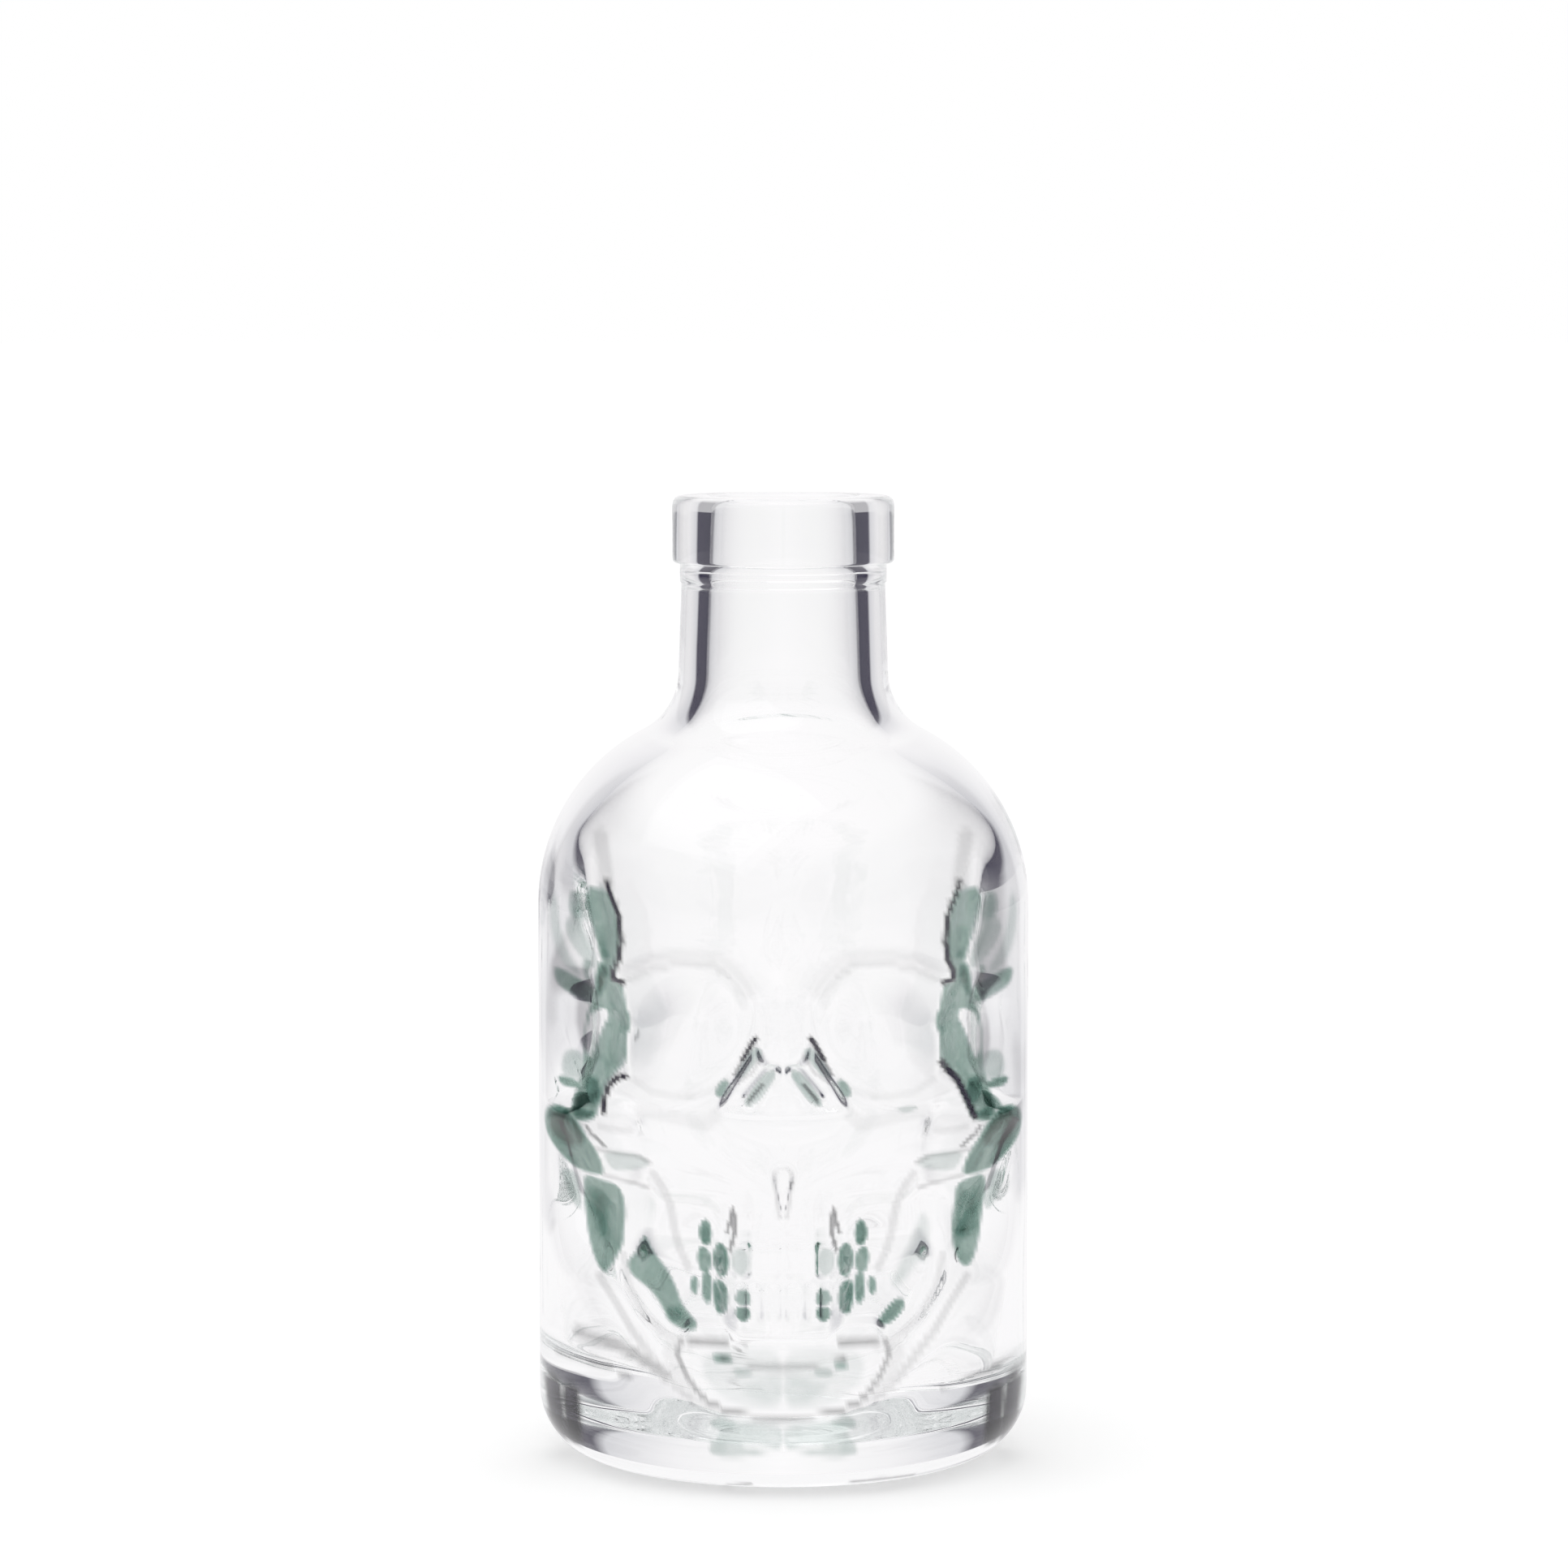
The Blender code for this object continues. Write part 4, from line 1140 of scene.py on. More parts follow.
@dataclass
class PaintedWallShade:
    """Painted shade on the skull's walls and at the edges of its forms, standing in for the dark
    surroundings that the glass refracts there.

    A later patch lies over the ones before it, so one without colour leaves a clear window. The places are
    thousandths of the body's radius across, and of the face's height above its foot.
    """

    relief: SkullRelief
    painted_line_reach: float = 1.6
    painted_line_power: int = 3
    # Areas of painted shade.
    shade_patches: tuple[ShadePatch, ...] = (
        ShadePatch(Side.BOTH, 0.50, 0.00050, (
            (686, 919), (656, 876), (643, 840), (644, 812), (660, 785), (675, 762), (668, 752), (635, 748),
            (629, 727), (619, 703), (610, 677), (623, 656), (620, 614), (648, 596), (688, 574), (716, 547),
            (735, 523), (768, 504), (830, 495), (854, 506), (833, 532), (813, 568), (800, 602), (793, 620),
            (793, 661), (779, 687), (752, 716), (723, 759), (716, 781), (733, 809), (756, 837), (776, 865),
            (789, 893), (769, 913),
        )),
        ShadePatch(Side.BOTH, 0.94, 0.00080, (
            (730, 779), (702, 777), (696, 755), (718, 731), (746, 710), (747, 745),
        )),
        ShadePatch(Side.BOTH, 0.66, 0.00120, (
            (726, 846), (681, 848), (674, 822), (688, 792), (719, 786), (733, 816),
        )),
        ShadePatch(Side.BOTH, 0.76, 0.00090, ((636, 705), (609, 695), (610, 671), (630, 663), (648, 681))),
        ShadePatch(Side.BOTH, 0.90, 0.00090, ((790, 570), (743, 568), (726, 543), (755, 523), (796, 540))),
        ShadePatch(Side.BOTH, 0.92, 0.00080, ((838, 522), (775, 512), (738, 519), (765, 501), (833, 495))),
        ShadePatch(Side.BOTH, 0.00, 0.00040, (
            (710, 696), (689, 681), (717, 661), (747, 624), (773, 594), (790, 623), (786, 661), (773, 682),
            (740, 690),
        )),
        ShadePatch(Side.BOTH, 0.28, 0.00090, (
            (853, 895), (816, 903), (799, 874), (796, 848), (833, 847), (856, 869),
        )),
        ShadePatch(Side.BOTH, 0.16, 0.00090, (
            (877, 850), (809, 848), (773, 814), (740, 784), (747, 766), (777, 773), (816, 791), (857, 813),
        )),
        ShadePatch(Side.BOTH, 0.12, 0.00120, (
            (936, 889), (911, 894), (898, 837), (863, 793), (797, 749), (850, 755), (912, 784), (940, 833),
        )),
        ShadePatch(Side.BOTH, 0.48, 0.00070, (
            (923, 761), (871, 757), (811, 743), (765, 734), (746, 716), (773, 699), (825, 712), (872, 721),
            (913, 733),
        )),
        ShadePatch(Side.BOTH, 0.22, 0.00100, ((873, 614), (800, 611), (803, 569), (853, 559), (894, 575))),
        ShadePatch(Side.BOTH, 0.66, 0.00050, ((901, 564), (847, 563), (803, 548), (863, 546), (901, 552))),
        ShadePatch(Side.BOTH, 0.70, 0.00050, (
            (966, 478), (954, 501), (904, 513), (861, 509), (837, 493), (809, 477), (779, 465), (746, 445),
            (723, 422), (718, 401), (753, 398), (822, 398), (873, 412), (920, 433), (955, 454),
        )),
        ShadePatch(Side.BOTH, 1.00, 0.00130, (
            (935, 499), (865, 509), (816, 487), (786, 463), (840, 435), (909, 446), (940, 467),
        )),
        ShadePatch(Side.BOTH, 0.20, 0.00080, (
            (896, 393), (836, 393), (820, 363), (813, 321), (843, 334), (876, 362),
        )),
        ShadePatch(Side.LEFT, 0.58, 0.00050, (
            (795, 392), (729, 387), (662, 386), (636, 364), (629, 336), (639, 305), (639, 281), (663, 260),
            (685, 239), (711, 227), (735, 236), (763, 260), (782, 291), (793, 324), (800, 360),
        )),
        ShadePatch(Side.RIGHT, 0.58, 0.00050, (
            (808, 393), (746, 390), (692, 383), (691, 348), (677, 321), (677, 279), (696, 249), (728, 235),
            (755, 245), (780, 272), (792, 311), (810, 352),
        )),
        ShadePatch(Side.BOTH, 0.82, 0.00200, (
            (769, 358), (720, 372), (695, 333), (694, 284), (731, 277), (763, 311),
        )),
        ShadePatch(Side.LEFT, 0.52, 0.00050, (
            (547, 303), (532, 278), (501, 253), (462, 232), (429, 206), (409, 182), (369, 163), (341, 148),
            (350, 138), (388, 140), (430, 151), (469, 171), (495, 190), (528, 206), (561, 217), (600, 227),
            (616, 242), (613, 253), (580, 269), (564, 287),
        )),
        ShadePatch(Side.LEFT, 0.74, 0.00100, ((463, 177), (418, 179), (392, 161), (423, 150), (456, 159))),
        ShadePatch(Side.RIGHT, 0.76, 0.00040, (
            (473, 191), (479, 180), (459, 166), (427, 155), (391, 149), (373, 150), (389, 161), (418, 176),
            (444, 186),
        )),
        ShadePatch(Side.RIGHT, 0.09, 0.00120, (
            (553, 351), (583, 317), (574, 272), (517, 238), (451, 204), (423, 209), (469, 245), (515, 304),
        )),
        ShadePatch(Side.BOTH, 0.10, 0.00060, (
            (719, 448), (626, 452), (561, 450), (525, 437), (545, 426), (627, 418), (677, 414), (699, 428),
        )),
        ShadePatch(Side.BOTH, 0.74, 0.00035, (
            (304, 340), (329, 326), (329, 300), (308, 285), (287, 294), (283, 321),
        )),
        ShadePatch(Side.BOTH, 0.56, 0.00035, (
            (333, 284), (301, 281), (284, 255), (296, 227), (328, 225), (341, 253),
        )),
        ShadePatch(Side.BOTH, 0.74, 0.00035, (
            (264, 294), (229, 291), (215, 265), (226, 236), (262, 227), (280, 253),
        )),
        ShadePatch(Side.BOTH, 0.56, 0.00035, ((353, 221), (338, 209), (345, 193), (362, 194), (370, 210))),
        ShadePatch(Side.BOTH, 0.60, 0.00035, (
            (315, 229), (290, 225), (282, 199), (292, 178), (314, 181), (325, 204),
        )),
        ShadePatch(Side.BOTH, 0.70, 0.00035, (
            (277, 217), (240, 225), (218, 213), (222, 176), (258, 161), (276, 182),
        )),
        ShadePatch(Side.BOTH, 0.46, 0.00035, (
            (170, 221), (135, 216), (128, 201), (132, 193), (160, 193), (188, 196), (188, 207),
        )),
        ShadePatch(Side.BOTH, 0.66, 0.00035, (
            (181, 189), (142, 188), (129, 179), (136, 167), (160, 161), (188, 171),
        )),
        ShadePatch(Side.BOTH, 0.12, 0.00060, (
            (191, 292), (147, 293), (134, 267), (153, 242), (192, 248), (205, 268),
        )),
        ShadePatch(Side.BOTH, 0.40, 0.00040, ((210, 590), (242, 589), (268, 569), (255, 559), (229, 562))),
        ShadePatch(Side.BOTH, 0.22, 0.00060, ((76, 640), (95, 650), (133, 644), (197, 591), (153, 590))),
        ShadePatch(Side.BOTH, 0.26, 0.00040, (
            (38, 603), (29, 593), (64, 570), (99, 550), (140, 540), (153, 545), (128, 563), (83, 592),
        )),
        ShadePatch(Side.RIGHT, 0.12, 0.00050, ((441, 535), (490, 538), (538, 535), (512, 528), (467, 527))),
        ShadePatch(Side.BOTH, 0.05, 0.00120, (
            (313, 100), (268, 112), (144, 116), (0, 117), (0, 8), (112, 12), (217, 24), (281, 46),
            (320, 70),
        )),
        ShadePatch(Side.BOTH, 0.10, 0.00140, ((0, 68), (111, 62), (175, 51), (159, 39), (96, 26), (0, 22))),
        ShadePatch(Side.LEFT, 0.50, 0.00050, ((287, 107), (252, 107), (194, 97), (204, 91), (262, 94))),
        ShadePatch(Side.RIGHT, 0.45, 0.00050, ((262, 95), (230, 92), (198, 87), (211, 82), (249, 86))),
        ShadePatch(Side.BOTH, 0.20, 0.00080, ((185, 83), (147, 83), (121, 76), (159, 68), (191, 74))),
        ShadePatch(Side.BOTH, 0.11, 0.00080, (
            (0, -18), (112, -17), (185, -13), (256, -7), (294, -19), (249, -28), (262, -47), (298, -65),
            (256, -80), (144, -78), (57, -65), (0, -58),
        )),
        ShadePatch(Side.BOTH, 0.26, 0.00090, ((294, -16), (249, -8), (198, -14), (192, -22), (243, -21))),
        ShadePatch(Side.BOTH, 0.20, 0.00090, ((288, -57), (236, -52), (211, -62), (243, -72), (288, -69))),
        ShadePatch(Side.BOTH, 0.04, 0.00080, (
            (166, -54), (96, -50), (25, -42), (19, -49), (89, -62), (160, -66),
        )),
    )
    # Dark lines of painted shade.
    painted_lines: tuple[PaintedLine, ...] = (
        PaintedLine(Side.BOTH, 1.00, 0.00036, (
            (696, 930), (686, 910), (659, 887), (646, 861), (640, 826), (650, 795), (671, 770), (671, 755),
            (635, 752),
        )),
        PaintedLine(Side.BOTH, 0.13, 0.00090, ((725, 1005), (710, 965), (696, 921))),
        PaintedLine(Side.LEFT, 1.00, 0.00032, ((623, 584), (664, 577), (694, 561), (709, 542), (715, 518))),
        PaintedLine(Side.RIGHT, 1.00, 0.00038, (
            (627, 609), (655, 590), (694, 571), (717, 550), (742, 526), (762, 505),
        )),
        PaintedLine(Side.BOTH, 1.00, 0.00032, ((108, 665), (127, 652), (159, 626))),
        PaintedLine(Side.BOTH, 0.40, 0.00022, ((159, 626), (191, 600))),
        PaintedLine(Side.BOTH, 0.16, 0.00022, ((76, 637), (121, 599), (179, 581))),
        PaintedLine(Side.BOTH, 0.49, 0.00022, ((134, 547), (115, 557), (83, 575))),
        PaintedLine(Side.BOTH, 0.53, 0.00022, (
            (221, 317), (204, 347), (198, 364), (191, 348), (191, 318), (211, 284),
        )),
        PaintedLine(Side.BOTH, 0.45, 0.00024, ((786, 487), (759, 473), (738, 469), (712, 459))),
        PaintedLine(Side.BOTH, 0.17, 0.00030, ((712, 399), (661, 398), (595, 395), (537, 388))),
        PaintedLine(Side.BOTH, 0.18, 0.00030, ((742, 449), (659, 448), (577, 448), (529, 437))),
        PaintedLine(Side.BOTH, 0.07, 0.00045, ((725, 491), (659, 489), (603, 492))),
        PaintedLine(Side.BOTH, 0.05, 0.00080, ((561, 528), (463, 523), (367, 515), (303, 511), (267, 528))),
        PaintedLine(Side.BOTH, 0.12, 0.00050, (
            (513, 417), (467, 387), (443, 351), (430, 315), (409, 272), (379, 233),
        )),
        PaintedLine(Side.BOTH, 0.14, 0.00050, (
            (731, 220), (664, 179), (598, 133), (513, 88), (442, 50), (365, 22),
        )),
        PaintedLine(Side.BOTH, 0.10, 0.00045, ((633, 262), (613, 207), (547, 162), (449, 129), (371, 117))),
        PaintedLine(Side.BOTH, 0.13, 0.00024, ((35, 429), (32, 405), (22, 371), (16, 350))),
        PaintedLine(Side.RIGHT, 0.53, 0.00022, ((32, 413), (28, 403))),
        PaintedLine(Side.BOTH, 0.07, 0.00025, ((35, 429), (16, 438), (0, 439))),
        PaintedLine(Side.LEFT, 0.30, 0.00075, ((819, 112), (711, 108), (612, 97), (530, 78), (465, 61))),
        PaintedLine(Side.LEFT, 0.30, 0.00028, ((917, 67), (795, 68), (694, 62), (595, 46))),
        PaintedLine(Side.RIGHT, 0.30, 0.00028, ((996, 23), (864, 37), (762, 37), (628, 32))),
        PaintedLine(Side.BOTH, 0.35, 0.00034, (
            (404, 121), (419, 102), (390, 71), (345, 40), (301, 21), (217, 4), (112, -3), (0, -4),
        )),
        PaintedLine(Side.BOTH, 0.07, 0.00080, (
            (436, 125), (452, 100), (423, 67), (365, 30), (307, 12), (211, -6), (96, -12), (0, -13),
        )),
        PaintedLine(Side.BOTH, 0.38, 0.00036, ((368, 119), (307, 122), (224, 119))),
        PaintedLine(Side.BOTH, 0.47, 0.00026, ((242, 96), (127, 91), (0, 91))),
        PaintedLine(Side.BOTH, 0.06, 0.00030, ((198, 77), (96, 81), (0, 78))),
        PaintedLine(Side.BOTH, 0.10, 0.00036, (
            (609, 758), (527, 778), (430, 791), (334, 796), (270, 791), (209, 773),
        )),
        PaintedLine(Side.BOTH, 0.05, 0.00110, (
            (595, 768), (511, 790), (414, 803), (324, 808), (247, 802), (184, 783), (140, 750),
        )),
        PaintedLine(Side.BOTH, 0.03, 0.00045, ((209, 773), (171, 747), (156, 721))),
        PaintedLine(Side.BOTH, 0.05, 0.00045, ((591, 580), (519, 561), (428, 556), (357, 558))),
        PaintedLine(Side.BOTH, 0.03, 0.00045, ((357, 558), (280, 570), (216, 591))),
        PaintedLine(Side.BOTH, 0.94, 0.00110, ((933, 1), (919, -47), (906, -132))),
        PaintedLine(Side.BOTH, 0.94, 0.00110, ((854, -3), (848, -41), (844, -87))),
        PaintedLine(Side.RIGHT, 0.47, 0.00030, ((274, -136), (387, -134), (518, -136))),
        PaintedLine(Side.LEFT, 0.38, 0.00026, ((300, -213), (213, -141), (129, -138))),
    )

    def places(self, thousandths: Thousandths) -> list[Point]:
        """Places of the face in metres, from thousandths."""
        return self.relief.points([(across / 1000, up / 1000) for across, up in thousandths])

    def on_side(self, side: Side, across: np.ndarray) -> np.ndarray:
        """Whether each place is on a mark's side of the face."""
        return across * side.value >= 0

    def values(self, across: np.ndarray, height: np.ndarray) -> dict[str, np.ndarray]:
        """Works out the painted shade at each place on the front.

        Args:
            across: Distance of each place to the right of the middle.
            height: Height of each place.

        Returns:
            The painted shade on the walls and in the dark lines, by the name of the mesh's attribute. The
            surface shows only the square root of its colour, so the lines' share is brought nearer to 1 by a
            power.
        """
        ground = Ground(np.abs(across), height)
        walls = np.zeros(across.shape)
        for patch in self.shade_patches:
            distance = ground.distance_outside(self.places(patch.outline))
            inside = smooth_step(0.5 - distance / patch.edge) * self.on_side(patch.side, across)
            walls = blend(walls, patch.depth, inside)
        dark = np.zeros(across.shape)
        for painted_line in self.painted_lines:
            places = self.places(painted_line.line)
            for start, end in zip(places, places[1:]):
                distance = ground.distance_to_line(start, end)
                along = smooth_step(self.painted_line_reach - distance / painted_line.half_width)
                dark = np.maximum(dark, painted_line.depth * along * self.on_side(painted_line.side, across))
        return {PAINTED_SHADE_SHARE: walls, PAINTED_LINE_SHARE: 1.0 - (1.0 - dark) ** self.painted_line_power}


@dataclass
class GlassBody:
    """The bottle's one piece of glass.

    Its inside is uneven by a sum of waves, each with its number round the bottle, its slant and its start.
    Near the mouth, over a few heights of the lip, it is even.
    """

    line: BottleLine
    relief: SkullRelief
    # The painted shade of the skull's walls.
    tint: PaintedWallShade
    columns: int = 296
    front_crowding: float = 0.55
    floor_tilt: float = 0.055
    uneven_height: float = 0.00012
    uneven_waves: tuple[tuple[float, float, float], ...] = ((3, 40, 1.3), (5, -150, 0.4), (2, 260, 2.1))
    even_lips: float = 3.0

    def turning_tree(self, rows: int, glass: bpy.types.Material) -> GeometryTree:
        """Makes the tree that turns a line of points round Z, with its columns crowded to the front.

        Args:
            rows: How many points the line has.
            glass: The bottle's material.

        Returns:
            The tree.
        """
        tree = GeometryTree(
            "turned_line",
            {
                "Columns": self.columns,
                "Rows": rows,
                "Front Crowding": self.front_crowding,
                "Material": glass,
            },
        )
        columns, per_column = tree.inputs.out("Columns"), tree.inputs.out("Rows")
        grid = tree.node(
            "GeometryNodeMeshGrid", values={"Vertices X": columns + 1.0, "Vertices Y": per_column}
        ).out("Mesh")
        index = tree.node("GeometryNodeInputIndex").out()
        column = (index / per_column).maths("FLOOR")
        here = tree.node("GeometryNodeInputPosition").out()
        sample = tree.node(
            "GeometryNodeSampleIndex",
            {"data_type": "FLOAT_VECTOR"},
            {"Geometry": tree.inputs.out("Line"), "Value": here, "Index": index - column * per_column},
        ).out()
        point = tree.node("ShaderNodeSeparateXYZ", values={0: sample})
        radius = point.out("X")
        even = column / columns * (2 * math.pi)
        turned = even - even.maths("SINE") * tree.inputs.out("Front Crowding")
        place = tree.node(
            "ShaderNodeCombineXYZ",
            values={
                "X": radius * turned.maths("SINE"),
                "Y": radius * turned.maths("COSINE") * -1.0,
                "Z": point.out("Z"),
            },
        ).out()
        shaped = tree.node("GeometryNodeSetPosition", values={"Geometry": grid, "Position": place}).out()
        closed = tree.node(
            "GeometryNodeMergeByDistance", values={"Geometry": shaped, "Distance": SMALLEST_LENGTH}
        ).out()
        tree.close(tree.node("GeometryNodeFlipFaces", values={"Mesh": closed}).out())
        return tree

    def press(self, mesh: bpy.types.Mesh) -> None:
        """Gives the turned form the skull, the uneven inside of blown glass, its tilted floor and the
        painted shade.

        Args:
            mesh: The turned form.
        """
        points = np.empty(len(mesh.vertices) * 3, np.float32)
        mesh.vertices.foreach_get("co", points)
        x, y, height = points.astype(float).reshape(-1, 3).T
        radius = np.hypot(x, y)
        line, relief = self.line, self.relief
        inner = radius < line.radius_at(height) - line.wall / 2
        inner &= height > line.floor_thickness / 2
        front = -y
        outer_front = (front > 0) & ~inner
        on_face = outer_front & (height > line.heel_radius) & (height < relief.level(relief.recess_top))
        new_front = front.copy()
        new_front[on_face] = relief.front(front[on_face], x[on_face], height[on_face])
        behind = (front > 0) & inner
        blown = BlownInside(line, relief)
        new_front[behind] = blown.front(front[behind], x[behind], height[behind])
        angle = np.arctan2(x, front)
        waves = [np.sin(turns * angle + rise * height + start) for turns, rise, start in self.uneven_waves]
        even_top = line.overall_height - line.lip_height * self.even_lips
        fade = smooth_step((even_top - height) / line.lip_height)
        change = np.where(inner, self.uneven_height * sum(waves) * fade, 0.0)
        safe_radius = np.maximum(radius, SMALLEST_LENGTH)
        near_axis = smooth_step(radius / line.bore_radius)
        x_new = x + x / safe_radius * change * near_axis
        front_new = new_front + front / safe_radius * change * near_axis
        floor_top = line.floor_thickness + line.floor_corner * 2
        sink = smooth_step((floor_top - height) / line.floor_corner)
        lowered = np.where(inner, height - self.floor_tilt * x * sink, height)
        moved = np.column_stack((x_new, -front_new, lowered)).astype(np.float32)
        mesh.vertices.foreach_set("co", moved.ravel())
        mesh.update()
        # The painted shade goes on the outer front only.
        for name, values in self.tint.values(x, height).items():
            attribute = mesh.attributes.new(name, "FLOAT", "POINT")
            attribute.data.foreach_set("value", np.where(outer_front, values, 0.0).astype(np.float32))

    def build(self, glass: bpy.types.Material) -> bpy.types.Object:
        """Makes the whole bottle.

        Args:
            glass: Its material.

        Returns:
            The bottle's object.
        """
        line_points = self.line.inside() + self.line.outside()
        line_mesh = bpy.data.meshes.new("bottle_line")
        edges = [(i, i + 1) for i in range(len(line_points) - 1)]
        line_mesh.from_pydata([(radius, 0.0, height) for radius, height in line_points], edges, [])
        bottle = self.turning_tree(len(line_points), glass).result("bottle_glass", line_mesh)
        self.press(bottle.data)
        return bottle


@dataclass
class BearingKnurls:
    """The small knurls under the bottle, which keep the hot glass off the conveyor."""

    line: BottleLine
    count: int = 96
    length: float = 0.0018
    width: float = 0.0008
    segments: int = 10
    rings: int = 5

    def knurl_tree(self, glass: bpy.types.Material) -> GeometryTree:
        """Makes the tree that sets one knurl after another round the bearing ring.

        Args:
            glass: The knurls' material.

        Returns:
            The tree.
        """
        tree = GeometryTree(
            "knurled_ring",
            {
                "Count": self.count,
                "Ring Radius": self.line.body_radius - self.line.heel_radius - self.line.ring_width / 2,
                "Knurl Length": self.length,
                "Knurl Width": self.width,
                "Knurl Height": self.line.ring_rise,
                "Material": glass,
            },
        )
        count = tree.inputs.out("Count")
        ring = tree.node(
            "GeometryNodeMeshCircle", values={"Vertices": count, "Radius": tree.inputs.out("Ring Radius")}
        ).out()
        knurl = tree.node(
            "GeometryNodeMeshUVSphere",
            values={"Segments": self.segments, "Rings": self.rings, "Radius": 0.5},
        ).out("Mesh")
        turn = tree.node("GeometryNodeInputIndex").out() / count * (2 * math.pi)
        turned = tree.node("ShaderNodeCombineXYZ", values={"Z": turn}).out()
        size = tree.node(
            "ShaderNodeCombineXYZ",
            values={
                "X": tree.inputs.out("Knurl Length"),
                "Y": tree.inputs.out("Knurl Width"),
                "Z": tree.inputs.out("Knurl Height"),
            },
        ).out()
        placed = tree.node(
            "GeometryNodeInstanceOnPoints",
            values={"Points": ring, "Instance": knurl, "Rotation": turned, "Scale": size},
        ).out()
        tree.close(placed)
        return tree

    def build(self, glass: bpy.types.Material) -> bpy.types.Object:
        """Makes the ring of knurls, standing on z = 0.

        Args:
            glass: The knurls' material.

        Returns:
            The knurls' object.
        """
        knurls = self.knurl_tree(glass).result("bearing_knurls", bpy.data.meshes.new("knurl_line"))
        for vertex in knurls.data.vertices:
            vertex.co.z += self.line.ring_rise / 2
        return knurls


@dataclass(frozen=True)
class SweepLight:
    """What glass and reflections show of the room, by the direction that they look in.

    The angles are degrees from straight behind the bottle, alike to the left and to the right. The floor has
    the near colour close to the bottle, and further out before it than beside it. Then it takes a share of
    the room's colour, and all of it beyond the middle reach.
    """

    stops: tuple[tuple[float, tuple[float, float, float]], ...] = (
        (0.0, (0.99, 0.98, 0.99)),
        (6.0, (0.96, 0.955, 0.96)),
        (18.0, (0.90, 0.89, 0.905)),
        (36.0, (0.66, 0.66, 0.69)),
        (41.0, (0.035, 0.030, 0.060)),
        (70.0, (0.040, 0.036, 0.060)),
        (80.0, (0.26, 0.27, 0.29)),
        (96.0, (0.50, 0.52, 0.53)),
        (115.0, (0.66, 0.68, 0.68)),
        (180.0, (0.66, 0.69, 0.685)),
    )
    near: tuple[float, float, float] = (0.96, 0.953, 0.963)
    near_beside: float = 0.20
    near_before: float = 0.55
    near_fade: float = 0.10
    middle_share: float = 0.55
    middle_reach: float = 0.90
    before_angle: float = 95.0
    before_turn: float = 10.0
    overhead: float = 0.5
    overhead_fade: float = 0.2

    def by_direction(self, maker: NodeMaker, place: Wire) -> tuple[Wire, Wire, Wire]:
        """Works out the room's colour in one direction.

        Args:
            maker: Maker of the tree's nodes.
            place: The place on the floor, or the direction into the room.

        Returns:
            The colour, the angle in degrees, and the height of the direction.
        """
        axes = maker.node("ShaderNodeSeparateXYZ", values={0: place})
        angle = axes.out("X").maths("ABSOLUTE").maths("ARCTAN2", axes.out("Y")) * (HALF_TURN / math.pi)
        stops = [(degrees / HALF_TURN, (*colour, 1.0)) for degrees, colour in self.stops]
        ramp = maker.node("ShaderNodeValToRGB", {"stops": stops}, {0: angle / HALF_TURN})
        return ramp.out(0), angle, axes.out("Z")

    def of_floor(self, maker: NodeMaker, place: Wire) -> Wire:
        """Works out the floor's colour: pale near the bottle, and the room's colour further off.

        Args:
            maker: Maker of the tree's nodes.
            place: The place on the floor.

        Returns:
            The colour.
        """
        colour, angle, _ = self.by_direction(maker, place)
        distance = maker.node("ShaderNodeVectorMath", {"operation": "LENGTH"}, {0: place}).out("Value")
        before = ((angle - self.before_angle) / self.before_turn).clamped()
        edge = before * (self.near_before - self.near_beside) + self.near_beside
        far = ((distance - edge) / self.near_fade).clamped()
        beyond = ((distance - self.middle_reach) / self.near_fade).clamped()
        far = far * (beyond * (1.0 - self.middle_share) + self.middle_share)
        return maker.mixed_colour(far, (*self.near, 1.0), colour)

    def of_air(self, maker: NodeMaker, direction: Wire) -> Wire:
        """Works out the colour of the air above the floor, which is pale overhead.

        Args:
            maker: Maker of the tree's nodes.
            direction: The direction into the room.

        Returns:
            The colour.
        """
        colour, _, height = self.by_direction(maker, direction)
        up = ((height - self.overhead) / self.overhead_fade).clamped()
        return maker.mixed_colour(up, colour, (*self.near, 1.0))


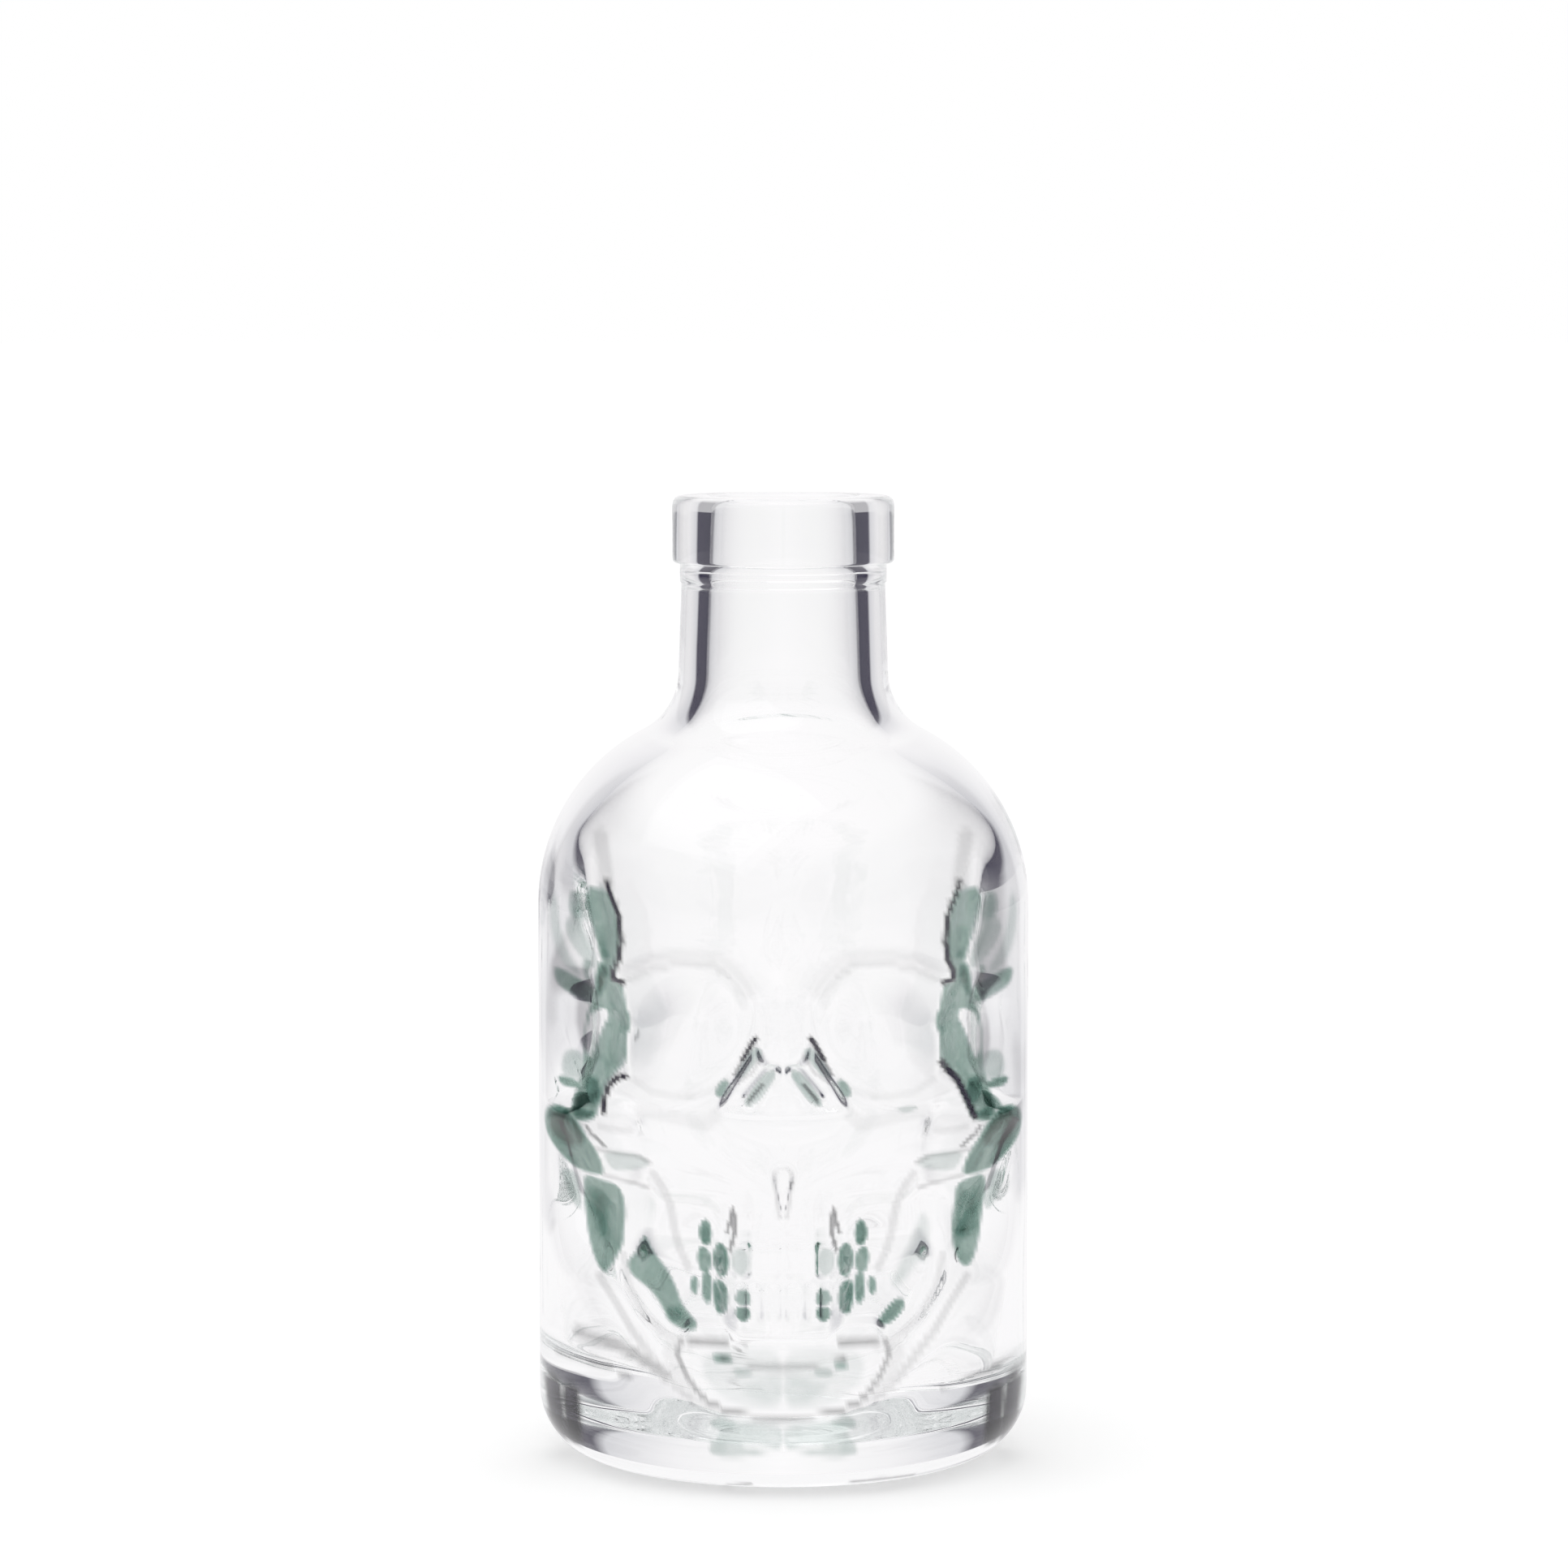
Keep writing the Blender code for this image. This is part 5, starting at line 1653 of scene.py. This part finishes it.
@dataclass
class Studio:
    """White sweep, soft light, and the room that clear glass shows at its edges."""

    sweep: SweepLight = field(default_factory=SweepLight)
    floor_size: float = 30.0
    floor_grey: float = 0.8
    floor_glow: float = 0.45
    ambient: float = 0.75
    key_power: float = 2.2
    key_size: float = 1.4
    key_place: tuple[float, float, float] = (-0.5, -0.4, 1.2)
    key_aim: tuple[float, float, float] = (0.0, 0.0, 0.065)

    def in_glass(self, rays: MadeNode) -> Wire:
        """Whether a ray comes through glass or is reflected."""
        return (rays.out("Is Glossy Ray") + rays.out("Is Transmission Ray")).clamped()

    def floor(self) -> bpy.types.Object:
        """Makes the white floor, which keeps the bottle's shadow.

        Returns:
            The floor's object.
        """
        half = self.floor_size / 2
        mesh = bpy.data.meshes.new("floor")
        corners = [(-half, -half, 0.0), (half, -half, 0.0), (half, half, 0.0), (-half, half, 0.0)]
        mesh.from_pydata(corners, [], [(0, 1, 2, 3)])
        white = bpy.data.materials.new("white_floor")
        maker = NodeMaker.fresh(white)
        rays = maker.node("ShaderNodeLightPath")
        grey = (self.floor_grey, self.floor_grey, self.floor_grey, 1.0)
        matt = maker.node("ShaderNodeBsdfDiffuse", values={"Color": grey}).out()
        lift = maker.node(
            "ShaderNodeEmission", values={"Strength": rays.out("Is Camera Ray") * self.floor_glow}
        ).out()
        seen = maker.node("ShaderNodeAddShader", values={0: matt, 1: lift}).out()
        place = maker.node("ShaderNodeTexCoord").out("Object")
        shown = maker.node("ShaderNodeEmission", values={"Color": self.sweep.of_floor(maker, place)}).out()
        both = maker.node("ShaderNodeMixShader", values={0: self.in_glass(rays), 1: seen, 2: shown}).out()
        maker.node("ShaderNodeOutputMaterial", values={"Surface": both})
        mesh.materials.append(white)
        made = added("floor", mesh)
        return made

    def world(self) -> None:
        """Makes the white surround, the room in the glass, and the softer air that lights the scene."""
        world = bpy.data.worlds.new("studio")
        bpy.context.scene.world = world
        maker = NodeMaker.fresh(world)
        rays = maker.node("ShaderNodeLightPath")
        direction = maker.node("ShaderNodeTexCoord").out("Generated")
        soft = (self.ambient, self.ambient, self.ambient, 1.0)
        colour = maker.mixed_colour(self.in_glass(rays), soft, self.sweep.of_air(maker, direction))
        colour = maker.mixed_colour(rays.out("Is Camera Ray"), colour, (1.0, 1.0, 1.0, 1.0))
        air = maker.node("ShaderNodeBackground", values={"Color": colour}).out()
        maker.node("ShaderNodeOutputWorld", values={"Surface": air})

    def softbox(self) -> bpy.types.Object:
        """Makes the soft lamp that points at the middle of the bottle.

        Returns:
            The lamp's object.
        """
        lamp = bpy.data.lights.new("key_softbox", "AREA")
        lamp.size = self.key_size
        lamp.energy = self.key_power
        made = added("key_softbox", lamp)
        made.location = self.key_place
        away = Vector(self.key_place) - Vector(self.key_aim)
        made.rotation_euler = away.to_track_quat("Z", "Y").to_euler()
        return made

    def build(self) -> None:
        """Builds the whole studio."""
        self.world()
        self.floor()
        self.softbox()


@dataclass
class PhotoCamera:
    """The camera, where the photographer's stood: in front and a little above."""

    aside: float = 0.0001
    distance: float = 0.7447
    height: float = 0.1586
    pitch: float = 5.146
    lens: float = 126.55
    sensor: float = 36.0

    def build(self) -> None:
        """Makes the camera and gives it to the scene."""
        camera = added("camera", bpy.data.cameras.new("camera"))
        camera.data.lens = self.lens
        camera.data.sensor_width = self.sensor
        camera.location = (self.aside, -self.distance, self.height)
        camera.rotation_euler = (math.radians(90 - self.pitch), 0.0, 0.0)
        bpy.context.scene.camera = camera


def main() -> None:
    """Loads the frame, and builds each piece."""
    logging.basicConfig(level=logging.INFO, format="%(message)s")
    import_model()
    line = BottleLine()
    relief = SkullRelief(line)
    glass = ClearGlass().material(line.overall_height - line.lip_height, line.shoulder_start)
    bottle = GlassBody(line, relief, PaintedWallShade(relief)).build(glass)
    knurls = BearingKnurls(line).build(glass)
    for piece in (bottle, knurls):
        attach(piece, "root")
        log.info("%s: %d faces", piece.name, len(piece.data.polygons))
    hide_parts("glass_bottle")
    Studio().build()
    PhotoCamera().build()
    scene = bpy.context.scene
    scene.view_settings.view_transform = "Standard"
    for kind in ("max_bounces", "transmission_bounces", "glossy_bounces"):
        setattr(scene.cycles, kind, LIGHT_BOUNCES)


if __name__ == "__main__":
    main()
